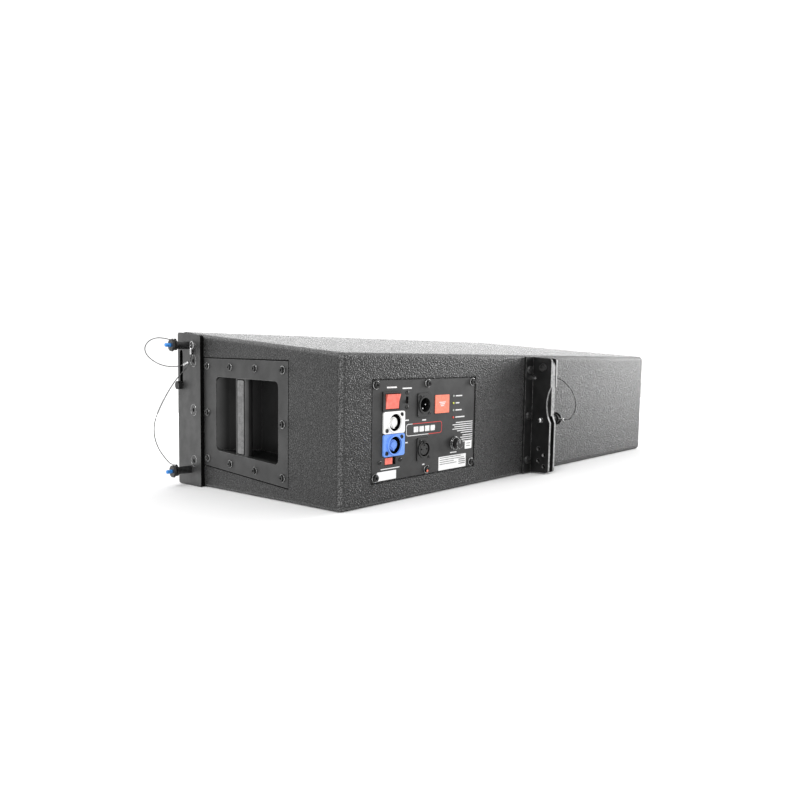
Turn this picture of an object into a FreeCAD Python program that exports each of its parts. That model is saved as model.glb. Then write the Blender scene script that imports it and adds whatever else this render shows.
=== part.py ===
"""Powered two-way line array loudspeaker: a wedge-shaped plywood cabinet with rigging,
drivers and an amplifier, each piece its own solid.

Every piece is first built in the cabinet's own frame: X across the width, Y from the front
face to the rear, Z up from the cabinet's middle plane.  The wedge is symmetric about that
plane.  Each finished piece then gets one common Placement, which tips the cabinet by half
its wedge so that its sloping underside lies flat on Z = 0, with the origin in the middle
of the underside.
"""
import FreeCAD, Part
import math
import os
import re

import Sketcher

Vector = FreeCAD.Vector
Rotation = FreeCAD.Rotation

doc = FreeCAD.newDocument("line_array_speaker")

# --------------------------------------------------------------------------- sizes (mm)
SIZES = [
    # cabinet
    ("cab_width", 800), ("cab_depth", 410), ("front_height", 248), ("rear_height", 190),
    ("board", 15), ("edge_round", 8),
    ("baffle_setback", 28), ("baffle_board", 18), ("brace_board", 12), ("brace_offset", 146),
    ("brace_window", 38), ("brace_window_back", 300),
    # front grille
    ("grille_setback", 3), ("grille_sheet", 1.5), ("grille_lip", 14), ("grille_gap", 1),
    ("foam_sheet", 6), ("post_radius", 9), ("post_outer", 368), ("post_inner", 139),
    ("post_height", 92), ("grille_screw_head", 4.2), ("grille_screw", 2),
    # woofers
    ("woofer_offset", 256), ("woofer_frame", 102), ("woofer_hole", 92), ("frame_flange", 4),
    ("basket_depth", 68), ("basket_sheet", 2.5), ("basket_rear", 58), ("magnet_radius", 62),
    ("magnet_height", 26), ("pole_radius", 18.6), ("gap_radius", 21.4), ("coil_radius", 20),
    ("coil_wall", 0.6), ("cone_radius", 76), ("cone_depth", 30), ("cone_wall", 1.4),
    ("cap_radius", 30), ("surround_wall", 1.2), ("surround_gap", 0.6),
    ("driver_screw", 2.2), ("driver_screw_head", 3), ("driver_screw_inset", 3.6),
    # horn and compression driver
    ("mouth_width", 212), ("mouth_height", 172), ("throat", 36), ("horn_depth", 150),
    ("horn_wall", 4), ("horn_flange", 16), ("throat_flange", 46), ("comp_radius", 62),
    ("comp_depth", 58),
    # carrying handles in the end boards
    ("handle_front", 77), ("handle_rear", 303), ("handle_half", 82.5), ("handle_sheet", 3),
    ("pocket_front", 114), ("pocket_rear", 281), ("pocket_half", 55.5), ("pocket_depth", 52),
    ("pocket_slope", 44), ("pocket_wall", 3), ("rebate_gap", 1.8),
    ("grip_front", 166.5), ("grip_rear", 200), ("grip_depth", 10),
    ("screw_edge", 11.5), ("cup_radius", 5.6), ("cup_height", 1.6), ("pan_radius", 3.9),
    ("pan_height", 2), ("screw_radius", 2.1), ("screw_length", 11),
    # front rigging
    ("plate_sheet", 6), ("plate_width", 76), ("plate_inset", 1), ("slot_centre", 12),
    ("slot_half", 5.2), ("slot_low", 33), ("slot_high", 95), ("channel_depth", 7),
    ("link_sheet", 5.6), ("link_front", 4.5), ("link_rear", 29.5), ("link_low", -56),
    ("link_high", 112), ("link_hole", 5), ("link_gap", 0.5), ("stud_radius", 4.6),
    ("stud_rest", 38.2), ("knob_radius", 6.6), ("knob_height", 8),
    ("bolt_line", 53), ("bolt_top", 78), ("bolt_middle", 1), ("bolt_bottom", -80),
    ("bolt_head", 9.5), ("bolt_radius", 4), ("bolt_length", 12),
    ("ring_height", 102), ("ring_radius", 6.2), ("ring_sheet", 1.2), ("ring_bolt_head", 4),
    ("ring_bolt_radius", 2.4),
    # ball-lock pins
    ("pin_line", 40), ("pin_top", 102), ("pin_bottom", -95), ("pin_shank", 4),
    ("pin_clear", 0.3), ("pin_depth", 13), ("pin_sleeve", 6), ("sleeve_length", 27.5),
    ("pin_disc", 10), ("disc_sheet", 3), ("button_radius", 3), ("button_out", 8.5),
    ("button_bore", 3.2), ("button_seat", 8), ("collar_radius", 8), ("collar_sheet", 2.6),
    ("eye_radius", 1.7), ("eye_length", 10), ("wire_radius", 0.75),
    # rear bracket
    ("base_half", 29), ("base_sheet", 4), ("bracket_inset", 2), ("cheek_inner", 5),
    ("cheek_sheet", 4), ("cheek_reach", 37), ("notch_high", 46), ("notch_low", -11),
    ("notch_deep", 7), ("rear_link_half", 4.4), ("rear_link_width", 14.2),
    ("pivot_reach", 22), ("pivot_height", 76), ("pivot_radius", 4), ("rear_link_low", 0),
    ("rear_pin_reach", 20.7), ("rear_pin_height", -7.5), ("cheek_hole", 3.3),
    ("rear_anchor_reach", 14), ("rear_anchor_height", 59),
    # amplifier panel
    ("panel_right", 50.7), ("panel_left", 249), ("panel_low", -65.5), ("panel_high", 61.5),
    ("panel_sheet", 2), ("panel_recess", 1), ("panel_ledge", 12), ("panel_screw_inset", 5.6),
    ("chassis_gap", 2), ("chassis_depth", 76), ("chassis_wall", 1.5), ("board_sheet", 1.6),
    ("amp_board_gap", 42),
    # rocker switch
    ("rocker_u", 83.7), ("rocker_z", 34.6), ("rocker_frame_x", 16.2), ("rocker_frame_z", 12.4),
    ("rocker_lip", 1.8), ("rocker_half_x", 11.2), ("rocker_half_z", 9.3), ("rocker_tilt", 8),
    ("rocker_body_depth", 24), ("rocker_well", 9), ("rocker_clear", 0.9), ("rocker_out", 3.4),
    # mains sockets
    ("mains_u", 87.1), ("mains_out_z", 7.8), ("mains_in_z", -21), ("mains_half_x", 18.6),
    ("mains_half_z", 14.1), ("mains_lip", 2.2), ("mains_ring", 13.2), ("mains_bore", 11.2),
    ("mains_core", 4.8), ("mains_body", 24), ("mains_collar", 2.4), ("mains_key", 3),
    # signal sockets
    ("signal_u", 143.2), ("signal_out_z", 27.5), ("signal_in_z", -31.8), ("signal_flange_x", 13),
    ("signal_flange_z", 15.5), ("signal_lip", 1.6), ("signal_rim", 11.6), ("signal_bore", 9.4),
    ("signal_body", 22), ("signal_bore_depth", 14), ("contact_radius", 1.25),
    ("contact_ring", 5.2), ("contact_length", 12), ("insert_radius", 7.6),
    ("latch_half", 2.6), ("latch_height", 1.3), ("latch_depth", 9), ("latch_out", 1.4),
    # slide switch, volume knob, voltage selector, indicator lamps
    ("lift_u", 111.2), ("lift_z", 35.2), ("lift_half_x", 4), ("lift_half_z", 7),
    ("lift_body", 9), ("lever_half_x", 1.6), ("lever_half_z", 1.8), ("lever_rest", 2),
    ("lever_out", 3.5), ("lever_slot_x", 2.1), ("lever_slot_z", 4.6),
    ("volume_u", 206.3), ("volume_z", -29.5), ("volume_radius", 9.4), ("volume_height", 11),
    ("volume_gap", 0.8), ("shaft_radius", 3), ("shaft_clear", 0.25), ("pot_radius", 8),
    ("pot_depth", 11),
    ("volt_u", 82.2), ("volt_z", -41.3), ("volt_half_x", 14.5), ("volt_half_z", 5.4),
    ("volt_lip", 1), ("volt_window_x", 8.6), ("volt_window_z", 4.4), ("slider_half_x", 6.4),
    ("slider_half_z", 4.1), ("slider_rest", 1.8), ("slider_out", 0.6), ("volt_body", 11),
    ("lamp_u", 202.9), ("lamp_top", 37), ("lamp_pitch", 10), ("lamp_radius", 1.5),
    ("lamp_out", 1), ("lamp_body", 6),
]
VALUE = dict(SIZES)


def make_sheet():
    """The spreadsheet that every expression reads."""
    sheet = doc.addObject("Spreadsheet::Sheet", "Sizes")
    for row, (alias, value) in enumerate(SIZES, start=1):
        sheet.set(f"A{row}", alias)
        sheet.set(f"B{row}", str(value))
        sheet.setAlias(f"B{row}", alias)
    doc.recompute()
    return sheet


make_sheet()


# ----------------------------------------------------------------- expressions and tools
def bound(text):
    """An expression in sheet aliases, with each alias written as the sheet's cell."""
    return re.sub(
        r"[a-z_]+", lambda m: "Sizes." + m.group(0) if m.group(0) in VALUE else m.group(0), str(text)
    )


class Sum:
    """A small reader of the same expressions, for a first value of each size."""

    def __init__(self, text):
        self.items = re.findall(r"[a-z_]+|\d+\.?\d*|[-+*/()]", str(text))
        self.place = 0

    def peek(self):
        return self.items[self.place] if self.place < len(self.items) else ""

    def take(self):
        self.place += 1
        return self.items[self.place - 1]

    def total(self):
        value = self.product()
        while self.peek() and self.peek() in "+-":
            value = value + self.product() if self.take() == "+" else value - self.product()
        return value

    def product(self):
        value = self.factor()
        while self.peek() and self.peek() in "*/":
            value = value * self.factor() if self.take() == "*" else value / self.factor()
        return value

    def factor(self):
        item = self.take()
        if item == "-":
            return -self.factor()
        if item == "(":
            value = self.total()
            self.take()
            return value
        return float(VALUE[item]) if item in VALUE else float(item)


def number(text):
    return Sum(text).total()


def bind(item, prop, text):
    item.setExpression(prop, bound(text))


def at(item, x, y, z):
    """Put an object at a point given by three expressions."""
    bind(item, "Placement.Base.x", x)
    bind(item, "Placement.Base.y", y)
    bind(item, "Placement.Base.z", z)
    return item


TURNS = {
    "+x": Rotation(Vector(0, 1, 0), 90), "-x": Rotation(Vector(0, 1, 0), -90),
    "+y": Rotation(Vector(1, 0, 0), -90), "-y": Rotation(Vector(1, 0, 0), 90),
    "+z": Rotation(), "-z": Rotation(Vector(1, 0, 0), 180),
}


def along(direction, centre, distance):
    """A centre point moved by a distance along one of the six directions."""
    x, y, z = (str(c) for c in centre)
    step = f"{'-' if direction[0] == '-' else '+'} ({distance})"
    return {
        "x": (f"({x}) {step}", y, z), "y": (x, f"({y}) {step}", z), "z": (x, y, f"({z}) {step}"),
    }[direction[1]]


def block(name, x_span, y_span, z_span):
    """A box between pairs of expressions."""
    box = doc.addObject("Part::Box", name)
    for prop, (low, high) in (("Length", x_span), ("Width", y_span), ("Height", z_span)):
        bind(box, prop, f"({high}) - ({low})")
    return at(box, x_span[0], y_span[0], z_span[0])


def rod(name, direction, centre, radius, start, end, radius_end=None):
    """A cylinder or a cone along a direction, from start to end beyond the centre."""
    if radius_end is None:
        item = doc.addObject("Part::Cylinder", name)
        bind(item, "Radius", radius)
    else:
        item = doc.addObject("Part::Cone", name)
        bind(item, "Radius1", radius)
        bind(item, "Radius2", radius_end)
    bind(item, "Height", f"({end}) - ({start})")
    item.Placement = FreeCAD.Placement(Vector(), TURNS[direction])
    return at(item, *along(direction, centre, start))


def fuse(name, pieces):
    item = doc.addObject("Part::MultiFuse", name)
    item.Shapes = pieces
    return item


def group(name, pieces):
    item = doc.addObject("Part::Compound", name)
    item.Links = pieces
    return item


def cut(name, base, tools):
    item = doc.addObject("Part::Cut", name)
    item.Base = base
    item.Tool = tools[0] if len(tools) == 1 else fuse(name + "_tools", tools)
    return item


def stack(name, direction, centre, steps):
    """Rods in line: each step is a radius, a start and an end, and perhaps an end radius."""
    rods = [rod(f"{name}_{i}", direction, centre, *step) for i, step in enumerate(steps)]
    return rods[0] if len(rods) == 1 else fuse(name, rods)


PLANES = {"yz": "YZ_Plane", "xz": "XZ_Plane", "xy": "XY_Plane"}


def outline(body, plane, points, offset=None):
    """A closed polygon sketch whose every corner is bound to expressions."""
    origin_plane = [f for f in body.Origin.OriginFeatures if f.Role == PLANES[plane]][0]
    sketch = body.newObject("Sketcher::SketchObject", body.Name + "_outline")
    sketch.AttachmentSupport = [(origin_plane, "")]
    sketch.MapMode = "FlatFace"
    if offset is not None:
        bind(sketch, "AttachmentOffset.Base.z", offset)
    corners = [(number(a), number(b)) for a, b in points]
    count = len(corners)
    for i, (a, b) in enumerate(corners):
        c, d = corners[(i + 1) % count]
        sketch.addGeometry(Part.LineSegment(Vector(a, b, 0), Vector(c, d, 0)), False)
    for i in range(count):
        sketch.addConstraint(Sketcher.Constraint("Coincident", i, 2, (i + 1) % count, 1))
    for i, texts in enumerate(points):
        for kind, text, value in zip(("DistanceX", "DistanceY"), texts, corners[i]):
            place = sketch.addConstraint(Sketcher.Constraint(kind, i, 1, value))
            bind(sketch, f"Constraints[{place}]", text)
    return sketch


def new_body(name):
    body = doc.addObject("PartDesign::Body", name)
    doc.recompute()
    return body


def prism(name, plane, points, low, high):
    """A polygon padded along its plane's normal from low to high (yz: X, xz: Y, xy: Z)."""
    body = new_body(name)
    offset = f"-({high})" if plane == "xz" else low
    sketch = outline(body, plane, points, offset)
    pad = body.newObject("PartDesign::Pad", name + "_pad")
    pad.Profile = sketch
    bind(pad, "Length", f"({high}) - ({low})")
    doc.recompute()
    return body


def turned(name, direction, centre, profile):
    """A polygon of (radius, distance) turned about its axis, which points along direction."""
    body = new_body(name)
    sketch = outline(body, "xz", profile)
    revolve = body.newObject("PartDesign::Revolution", name + "_turn")
    revolve.Profile = sketch
    revolve.ReferenceAxis = (sketch, ["V_Axis"])
    revolve.Angle = 360
    body.Placement = FreeCAD.Placement(Vector(), TURNS[direction])
    at(body, *centre)
    doc.recompute()
    return body


def ease(body, radius, chooser):
    """Round the edges of a body that the chooser picks."""
    sharp = body.Tip
    names = [f"Edge{i + 1}" for i, edge in enumerate(sharp.Shape.Edges) if chooser(edge)]
    rounding = body.newObject("PartDesign::Fillet", body.Name + "_round")
    rounding.Base = (sharp, names)
    bind(rounding, "Radius", radius)
    body.Tip = rounding
    doc.recompute()
    return body


def edge_runs(edge, axis):
    """Whether an edge is straight and runs along one axis."""
    start, end = edge.Vertexes[0].Point, edge.Vertexes[-1].Point
    run = [abs(end[i] - start[i]) for i in range(3)]
    return run["xyz".index(axis)] > 0.99 * sum(run)


# ----------------------------------------------------------------- the common last placement
SLOPE = "((front_height - rear_height) / 2 / cab_depth)"
HALF_WEDGE = math.degrees(math.atan(number(SLOPE)))


def cabinet_to_row():
    """Tips the cabinet frame so that the underside is level, its middle at the origin."""
    turn = Rotation(Vector(1, 0, 0), -HALF_WEDGE)
    underside = Vector(0, number("cab_depth / 2"), number("-(front_height + rear_height) / 4"))
    return FreeCAD.Placement(turn.multVec(underside) * -1, turn)


SEAT = cabinet_to_row()
NODES = []


def node(label, piece):
    """Finish a sub-part: its label, which names its file, and its place in the row."""
    placed = piece.ExpressionEngine or not piece.Placement.isIdentity() or piece.InList
    seated = group(label + "_seat", [piece]) if placed else piece
    if placed:
        piece.Label = label + "_in_cabinet"
    seated.Label = label
    seated.Placement = SEAT
    NODES.append(seated)
    return seated


def outer_z(y):
    """Height of the cabinet's top face above the middle plane, at a distance back."""
    return f"(front_height / 2 - {SLOPE} * ({y}))"


def inner_z(y):
    return f"({outer_z(y)} - board)"


def wedge(y_low, y_high, height, inset="0"):
    """Corners, in Y and Z, of a slice of the wedge between two distances back."""
    return [
        (y_low, f"-({height(y_low)} - {inset})"), (y_high, f"-({height(y_high)} - {inset})"),
        (y_high, f"{height(y_high)} - {inset}"), (y_low, f"{height(y_low)} - {inset}"),
    ]


END = "cab_width / 2"
INSIDE = "(cab_width / 2 - board)"
SIDES = {"right": 1, "left": -1}


def out(side):
    """The direction that points out of one end of the cabinet."""
    return "+x" if side > 0 else "-x"


def x_at(side, distance):
    """An X position at a distance from the middle, on one side."""
    return f"{side} * ({distance})"


def x_span(side, near, far):
    """An X span from near to far from the middle, on one side, low value first."""
    return (near, far) if side > 0 else (f"-({far})", f"-({near})")


def panel_x(u):
    """X of a place on the rear face, from its distance in from the right rear corner."""
    return f"(cab_width / 2 - ({u}))"


PANEL_FACE = "(cab_depth - panel_recess)"
PANEL_BACK = "(cab_depth - panel_recess - panel_sheet)"


# ------------------------------------------------------------------------------- fasteners
def cup_screw(name, direction, centre):
    """A pan-head screw in a cup washer, the washer seated at the centre point."""
    return stack(name, direction, centre, [
        ("cup_radius", "0", "cup_height", "cup_radius * 0.8"),
        ("pan_radius", "cup_height * 0.5", "cup_height + pan_height"),
        ("screw_radius", "-screw_length", "cup_height"),
    ])


def handle_screw_places(side):
    """Where the ten screws of one handle go."""
    rows = [f"handle_front + screw_edge + {i} * (handle_rear - handle_front - 2 * screw_edge) / 3"
            for i in range(4)]
    seat = x_at(side, END)
    places = [(seat, y, f"{s} * (handle_half - screw_edge)") for s in (1, -1) for y in rows]
    return places + [(seat, rows[0], "0"), (seat, rows[3], "0")]


def panel_screw_places():
    """Where the six screws of the amplifier panel go."""
    right, left = "panel_right + panel_screw_inset", "panel_left - panel_screw_inset"
    columns = [right, f"({right} + {left}) / 2", left]
    rows = ["panel_high - panel_screw_inset", "panel_low + panel_screw_inset"]
    return [(panel_x(u), PANEL_FACE, z) for z in rows for u in columns]


def panel_screws():
    screws = [cup_screw(f"handle_screw_{name}_{i}", out(side), place)
              for name, side in SIDES.items()
              for i, place in enumerate(handle_screw_places(side))]
    screws += [cup_screw(f"amp_screw_{i}", "+y", place)
               for i, place in enumerate(panel_screw_places())]
    return group("panel_screws", screws)


def rigging_bolts():
    """Three countersunk bolts in each front plate, and the small bolt of the lanyard rings."""
    bolts = []
    for name, side in SIDES.items():
        for height in ("bolt_top", "bolt_middle", "bolt_bottom"):
            place = (x_at(side, f"{END} + plate_sheet"), "bolt_line", height)
            bolts.append(stack(f"rigging_bolt_{name}_{height}", out(side), place, [
                ("bolt_radius", "-(plate_sheet + bolt_length)", "-(bolt_head - bolt_radius)"),
                ("bolt_radius", "-(bolt_head - bolt_radius)", "0", "bolt_head"),
            ]))
        place = (x_at(side, f"{END} + plate_sheet"), "bolt_line", "ring_height")
        bolts.append(stack(f"ring_bolt_{name}", out(side), place, [
            ("ring_bolt_radius", "-(plate_sheet + bolt_length)", "2 * ring_sheet"),
            ("ring_bolt_head", "2 * ring_sheet", "2 * ring_sheet + 2.4", "ring_bolt_head * 0.7"),
        ]))
    return group("rigging_bolts", bolts)


def grille_post_places():
    return [(f"{sx} * {x}", f"{sz} * post_height")
            for x in ("post_outer", "post_inner") for sx in (1, -1) for sz in (1, -1)]


def grille_screws():
    """Eight screws that hold the grille onto the baffle's posts."""
    face = "grille_setback"
    return group("grille_screws", [
        stack(f"grille_screw_{i}", "-y", (x, face, z), [
            ("grille_screw_head", "0", "2", "grille_screw_head * 0.6"),
            ("grille_screw", "-(grille_sheet + foam_sheet + 10)", "0"),
        ])
        for i, (x, z) in enumerate(grille_post_places())
    ])


# --------------------------------------------------------------------------------- cabinet
def cabinet_blank():
    """The outer wedge, with every edge but those of the front face rounded."""
    body = prism("cabinet_blank", "yz", wedge("0", "cab_depth", outer_z), f"-{END}", END)
    return ease(body, "edge_round", lambda edge: not on_front(edge))


def on_front(edge):
    return all(abs(v.Point.y) < 0.01 for v in edge.Vertexes)


def channel(name, side):
    """The recess behind a front plate in which the link bar slides, open at the top."""
    return block(name, x_span(side, f"{END} - channel_depth", f"{END} + 1"),
                 ("link_front - link_gap", "link_rear + link_gap"),
                 ("link_low - link_gap", "front_height / 2 + 1"))


def pin_bore(name, side, height):
    """The bore for a front ball-lock pin, in the end board and the plate."""
    centre = (x_at(side, END), "pin_line", height)
    return rod(name, out(side), centre, "pin_shank + pin_clear", "-(pin_depth + 1)",
               "plate_sheet + 1")


def cabinet_shell(bolts, screws):
    hollow = prism("cabinet_hollow", "yz", wedge("-1", "cab_depth - board", inner_z),
                   f"-{INSIDE}", INSIDE)
    tools = [hollow, bolts, screws]
    tools.append(block("panel_rebate", (panel_x("panel_left + rebate_gap"),
                                        panel_x("panel_right - rebate_gap")),
                       (PANEL_BACK, "cab_depth + 1"),
                       ("panel_low - rebate_gap", "panel_high + rebate_gap")))
    tools.append(block("panel_hole", (panel_x("panel_left - panel_ledge"),
                                      panel_x("panel_right + panel_ledge")),
                       ("cab_depth - board - 1", "cab_depth"),
                       ("panel_low + panel_ledge", "panel_high - panel_ledge")))
    for name, side in SIDES.items():
        tools.append(block(f"handle_rebate_{name}",
                           x_span(side, f"{END} - handle_sheet", f"{END} + 1"),
                           ("handle_front - rebate_gap", "handle_rear + rebate_gap"),
                           ("-(handle_half + rebate_gap)", "handle_half + rebate_gap")))
        tools.append(block(f"handle_hole_{name}", x_span(side, f"{INSIDE} - 1", END),
                           ("pocket_front - pocket_wall - 1", "pocket_rear + pocket_wall + 1"),
                           ("-(pocket_half + pocket_wall + 1)", "pocket_half + pocket_wall + 1")))
        tools.append(channel(f"channel_{name}", side))
        for height in ("pin_top", "pin_bottom"):
            tools.append(pin_bore(f"board_bore_{name}_{height}", side, height))
    return cut("cabinet_shell", cabinet_blank(), tools)


def front_baffle(grille_bolts, driver_bolts):
    """The board that carries the drivers, with a post under each grille screw."""
    board = prism("baffle_board_blank", "yz",
                  wedge("baffle_setback", "baffle_setback + baffle_board", inner_z),
                  f"-{INSIDE}", INSIDE)
    top_of_post = "grille_setback + grille_sheet + foam_sheet"
    posts = [rod(f"post_{i}", "-y", (x, "baffle_setback + 1", z), "post_radius", "0",
                 f"baffle_setback + 1 - ({top_of_post})")
             for i, (x, z) in enumerate(grille_post_places())]
    holes = [rod(f"woofer_hole_{name}", "+y", (x_at(side, "woofer_offset"), "0", "0"),
                 "woofer_hole", "baffle_setback - 1", "baffle_setback + baffle_board + 1")
             for name, side in SIDES.items()]
    holes.append(block("horn_hole", ("-(mouth_width / 2 + horn_wall + 1)",
                                     "mouth_width / 2 + horn_wall + 1"),
                       ("baffle_setback - 1", "baffle_setback + baffle_board + 1"),
                       ("-(mouth_height / 2 + horn_wall + 1)",
                        "mouth_height / 2 + horn_wall + 1")))
    return cut("front_baffle", fuse("baffle_with_posts", [board] + posts),
               holes + [grille_bolts, driver_bolts])


def internal_braces():
    """Two upright partitions between the horn's chamber and the woofers' chambers."""
    start = "baffle_setback + baffle_board"
    braces = []
    for name, side in SIDES.items():
        low, high = x_span(side, "brace_offset", "brace_offset + brace_board")
        plate = prism(f"brace_plate_{name}", "yz", wedge(start, "cab_depth - board", inner_z),
                      low, high)
        window = rod(f"brace_window_{name}", "+x", (low, "brace_window_back", "0"),
                     "brace_window", "-1", "brace_board + 1")
        braces.append(cut(f"brace_{name}", plate, [window]))
    return group("internal_braces", braces)


def front_grille(bolts):
    """A steel sheet with its rim folded back, inside the cabinet's open front."""
    half = f"({INSIDE} - grille_gap)"

    def rim(y):
        return f"({inner_z(y)} - grille_gap)"

    face = "grille_setback"
    sheet = prism("grille_outer", "yz", wedge(face, f"{face} + grille_lip", rim), f"-{half}", half)
    behind = prism("grille_inner", "yz",
                   wedge(f"{face} + grille_sheet", f"{face} + grille_lip + 1", rim,
                         "grille_sheet"),
                   f"-({half} - grille_sheet)", f"{half} - grille_sheet")
    return cut("front_grille", sheet, [behind, bolts])


def grille_foam(bolts):
    """The acoustic foam sheet behind the grille."""
    half = f"({INSIDE} - grille_gap - grille_sheet - 0.3)"
    face = "grille_setback + grille_sheet"
    sheet = prism("foam_outer", "yz",
                  wedge(face, f"{face} + foam_sheet", inner_z, "grille_gap - grille_sheet - 0.3"),
                  f"-{half}", half)
    return cut("grille_foam", sheet, [bolts])


# --------------------------------------------------------------------------------- drivers
BAFFLE_FACE = "baffle_setback"
SPOKES = 6
FRAME_SCREWS = 8


def driver_screws():
    """The screws of both woofer frames and of the horn's flange."""
    screws = []
    for name, side in SIDES.items():
        for i in range(FRAME_SCREWS):
            angle = 2 * math.pi * (i + 0.5) / FRAME_SCREWS
            ring = "(woofer_frame - driver_screw_inset)"
            x = f"({x_at(side, 'woofer_offset')}) + {ring} * {math.cos(angle):.6f}"
            z = f"{ring} * {math.sin(angle):.6f}"
            screws.append(frame_screw(f"woofer_screw_{name}_{i}", x, z))
    for i, (sx, sz) in enumerate(((1, 1), (1, -1), (-1, 1), (-1, -1))):
        x = f"{sx} * (mouth_width / 2 + horn_wall + horn_flange / 2)"
        z = f"{sz} * (mouth_height / 2 - 6)"
        screws.append(frame_screw(f"horn_screw_{i}", x, z))
    return group("driver_screws", screws)


def frame_screw(name, x, z):
    """A socket screw through a driver's flange into the baffle."""
    return stack(name, "-y", (x, f"{BAFFLE_FACE} - frame_flange", z), [
        ("driver_screw_head", "0", "2.6"),
        ("driver_screw", "-(frame_flange + 12)", "0"),
    ])


def woofer_baskets(screws):
    """The two pressed woofer frames: flange, spoked basket and rear ring."""
    baskets = []
    for name, side in SIDES.items():
        centre = (x_at(side, "woofer_offset"), BAFFLE_FACE, "0")
        shell = turned(f"basket_{name}", "+y", centre, [
            ("cone_radius + 8", "-frame_flange"), ("woofer_frame", "-frame_flange"),
            ("woofer_frame", "0"), ("woofer_hole - 1", "0"),
            ("basket_rear + basket_sheet", "basket_depth"),
            ("coil_radius + 12", "basket_depth"),
            ("coil_radius + 12", "basket_depth - basket_sheet"),
            ("basket_rear", "basket_depth - basket_sheet"),
            ("woofer_hole - 1 - basket_sheet", "0"), ("cone_radius + 8", "0"),
        ])
        windows = []
        for i in range(SPOKES):
            window = block(f"basket_window_{name}_{i}", ("basket_rear - 8", "woofer_hole + 4"),
                           ("-16", "16"), ("0", "basket_depth - 26"))
            window.setExpression("Placement.Base.x", None)
            window.setExpression("Placement.Base.y", None)
            window.setExpression("Placement.Base.z", None)
            turn = TURNS["+y"].multiply(Rotation(Vector(0, 0, 1), 360.0 * i / SPOKES))
            corner = turn.multVec(Vector(number("basket_rear - 8"), -16, 12))
            place = Vector(number(centre[0]), number(BAFFLE_FACE), 0)
            window.Placement = FreeCAD.Placement(place + corner, turn)
            windows.append(window)
        baskets.append(cut(f"woofer_basket_{name}", shell, windows + [screws]))
    return group("woofer_baskets", baskets)


def woofer_magnets():
    """The two motors: ring magnet and plates, with a pole inside the coil's gap."""
    motors = []
    for name, side in SIDES.items():
        centre = (x_at(side, "woofer_offset"), f"{BAFFLE_FACE} + basket_depth", "0")
        motors.append(turned(f"motor_{name}", "+y", centre, [
            ("gap_radius", "0"), ("magnet_radius - 8", "0"), ("magnet_radius - 8", "5"),
            ("magnet_radius", "5"), ("magnet_radius", "5 + magnet_height"),
            ("magnet_radius - 8", "5 + magnet_height"), ("magnet_radius - 8", "11 + magnet_height"),
            ("0", "11 + magnet_height"), ("0", "0"), ("pole_radius", "0"),
            ("pole_radius", "3 + magnet_height"), ("gap_radius", "3 + magnet_height"),
        ]))
    return group("woofer_magnets", motors)


def woofer_cone(name, side):
    """One moving cone: paper cone, dust cap and coil former."""
    centre = (x_at(side, "woofer_offset"), f"{BAFFLE_FACE} - 1", "0")
    cone = turned(f"cone_{name}", "+y", centre, [
        ("cone_radius", "0"), ("cone_radius", "cone_wall"),
        ("coil_radius", "cone_depth + cone_wall * 2"),
        ("coil_radius", "basket_depth + 14"), ("coil_radius - coil_wall", "basket_depth + 14"),
        ("coil_radius - coil_wall", "cone_depth"), ("cap_radius", "cone_depth - 6"),
        ("cap_radius - 1", "cone_depth - 6 - cone_wall"), ("cap_radius * 0.55", "cone_depth - 12"),
        ("0", "cone_depth - 14"), ("0", "cone_depth - 15.5"), ("cap_radius * 0.57", "cone_depth - 13.5"),
        ("cap_radius + 1.2", "cone_depth - 8"), ("cone_radius - 3", "0"),
    ])
    return cone


def woofer_surround(name, side):
    """One half-roll surround, lying on the frame with its inner lip just clear of the cone."""
    centre = (x_at(side, "woofer_offset"), f"{BAFFLE_FACE} - frame_flange", "0")
    inner, outer = "(cone_radius + surround_gap)", "(woofer_hole + 2.8)"
    middle = f"(({inner} + {outer}) / 2)"
    return turned(f"surround_{name}", "-y", centre, [
        (outer, "0"), (outer, "surround_wall"), (f"{outer} - 3", "surround_wall"),
        (f"{middle} + 5", "6.4"), (middle, "8.2"), (f"{middle} - 5", "6.4"),
        (f"{inner}", "surround_wall"), (inner, "0"), (f"{inner} + 1.2", "0"),
        (f"{middle} - 4.2", "5"), (middle, "6.8"), (f"{middle} + 4.2", "5"), (f"{outer} - 4", "0"),
    ])


def frustum(name, extra):
    """A four-sided taper from the horn's mouth to its throat, grown by extra on each side."""
    item = doc.addObject("Part::Wedge", name)
    for low, high, size in (("Xmin", "Xmax", "mouth_width"), ("Zmin", "Zmax", "mouth_height"),
                            ("X2min", "X2max", "throat"), ("Z2min", "Z2max", "throat")):
        bind(item, low, f"-({size} / 2 + {extra})")
        bind(item, high, f"{size} / 2 + {extra}")
    bind(item, "Ymin", "baffle_setback - frame_flange")
    bind(item, "Ymax", "baffle_setback + horn_depth")
    return item


def waveguide_horn(screws):
    """The central horn: a flange on the baffle and a tapering throat."""
    face = f"{BAFFLE_FACE} - frame_flange"
    flange = block("horn_flange_plate", ("-(mouth_width / 2 + horn_wall + horn_flange)",
                                         "mouth_width / 2 + horn_wall + horn_flange"),
                   (face, BAFFLE_FACE), ("-(mouth_height / 2 + horn_wall + 6)",
                                         "mouth_height / 2 + horn_wall + 6"))
    back = rod("throat_plate", "+y", ("0", f"{BAFFLE_FACE} + horn_depth", "0"), "throat_flange",
               "-6", "0")
    outer = fuse("horn_outer", [frustum("horn_outside", "horn_wall"), flange, back])
    throat_bore = rod("throat_bore", "+y", ("0", f"{BAFFLE_FACE} + horn_depth", "0"),
                      "throat / 2", "-7", "1")
    return cut("waveguide_horn", outer, [frustum("horn_inside", "0"), throat_bore, screws])


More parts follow.
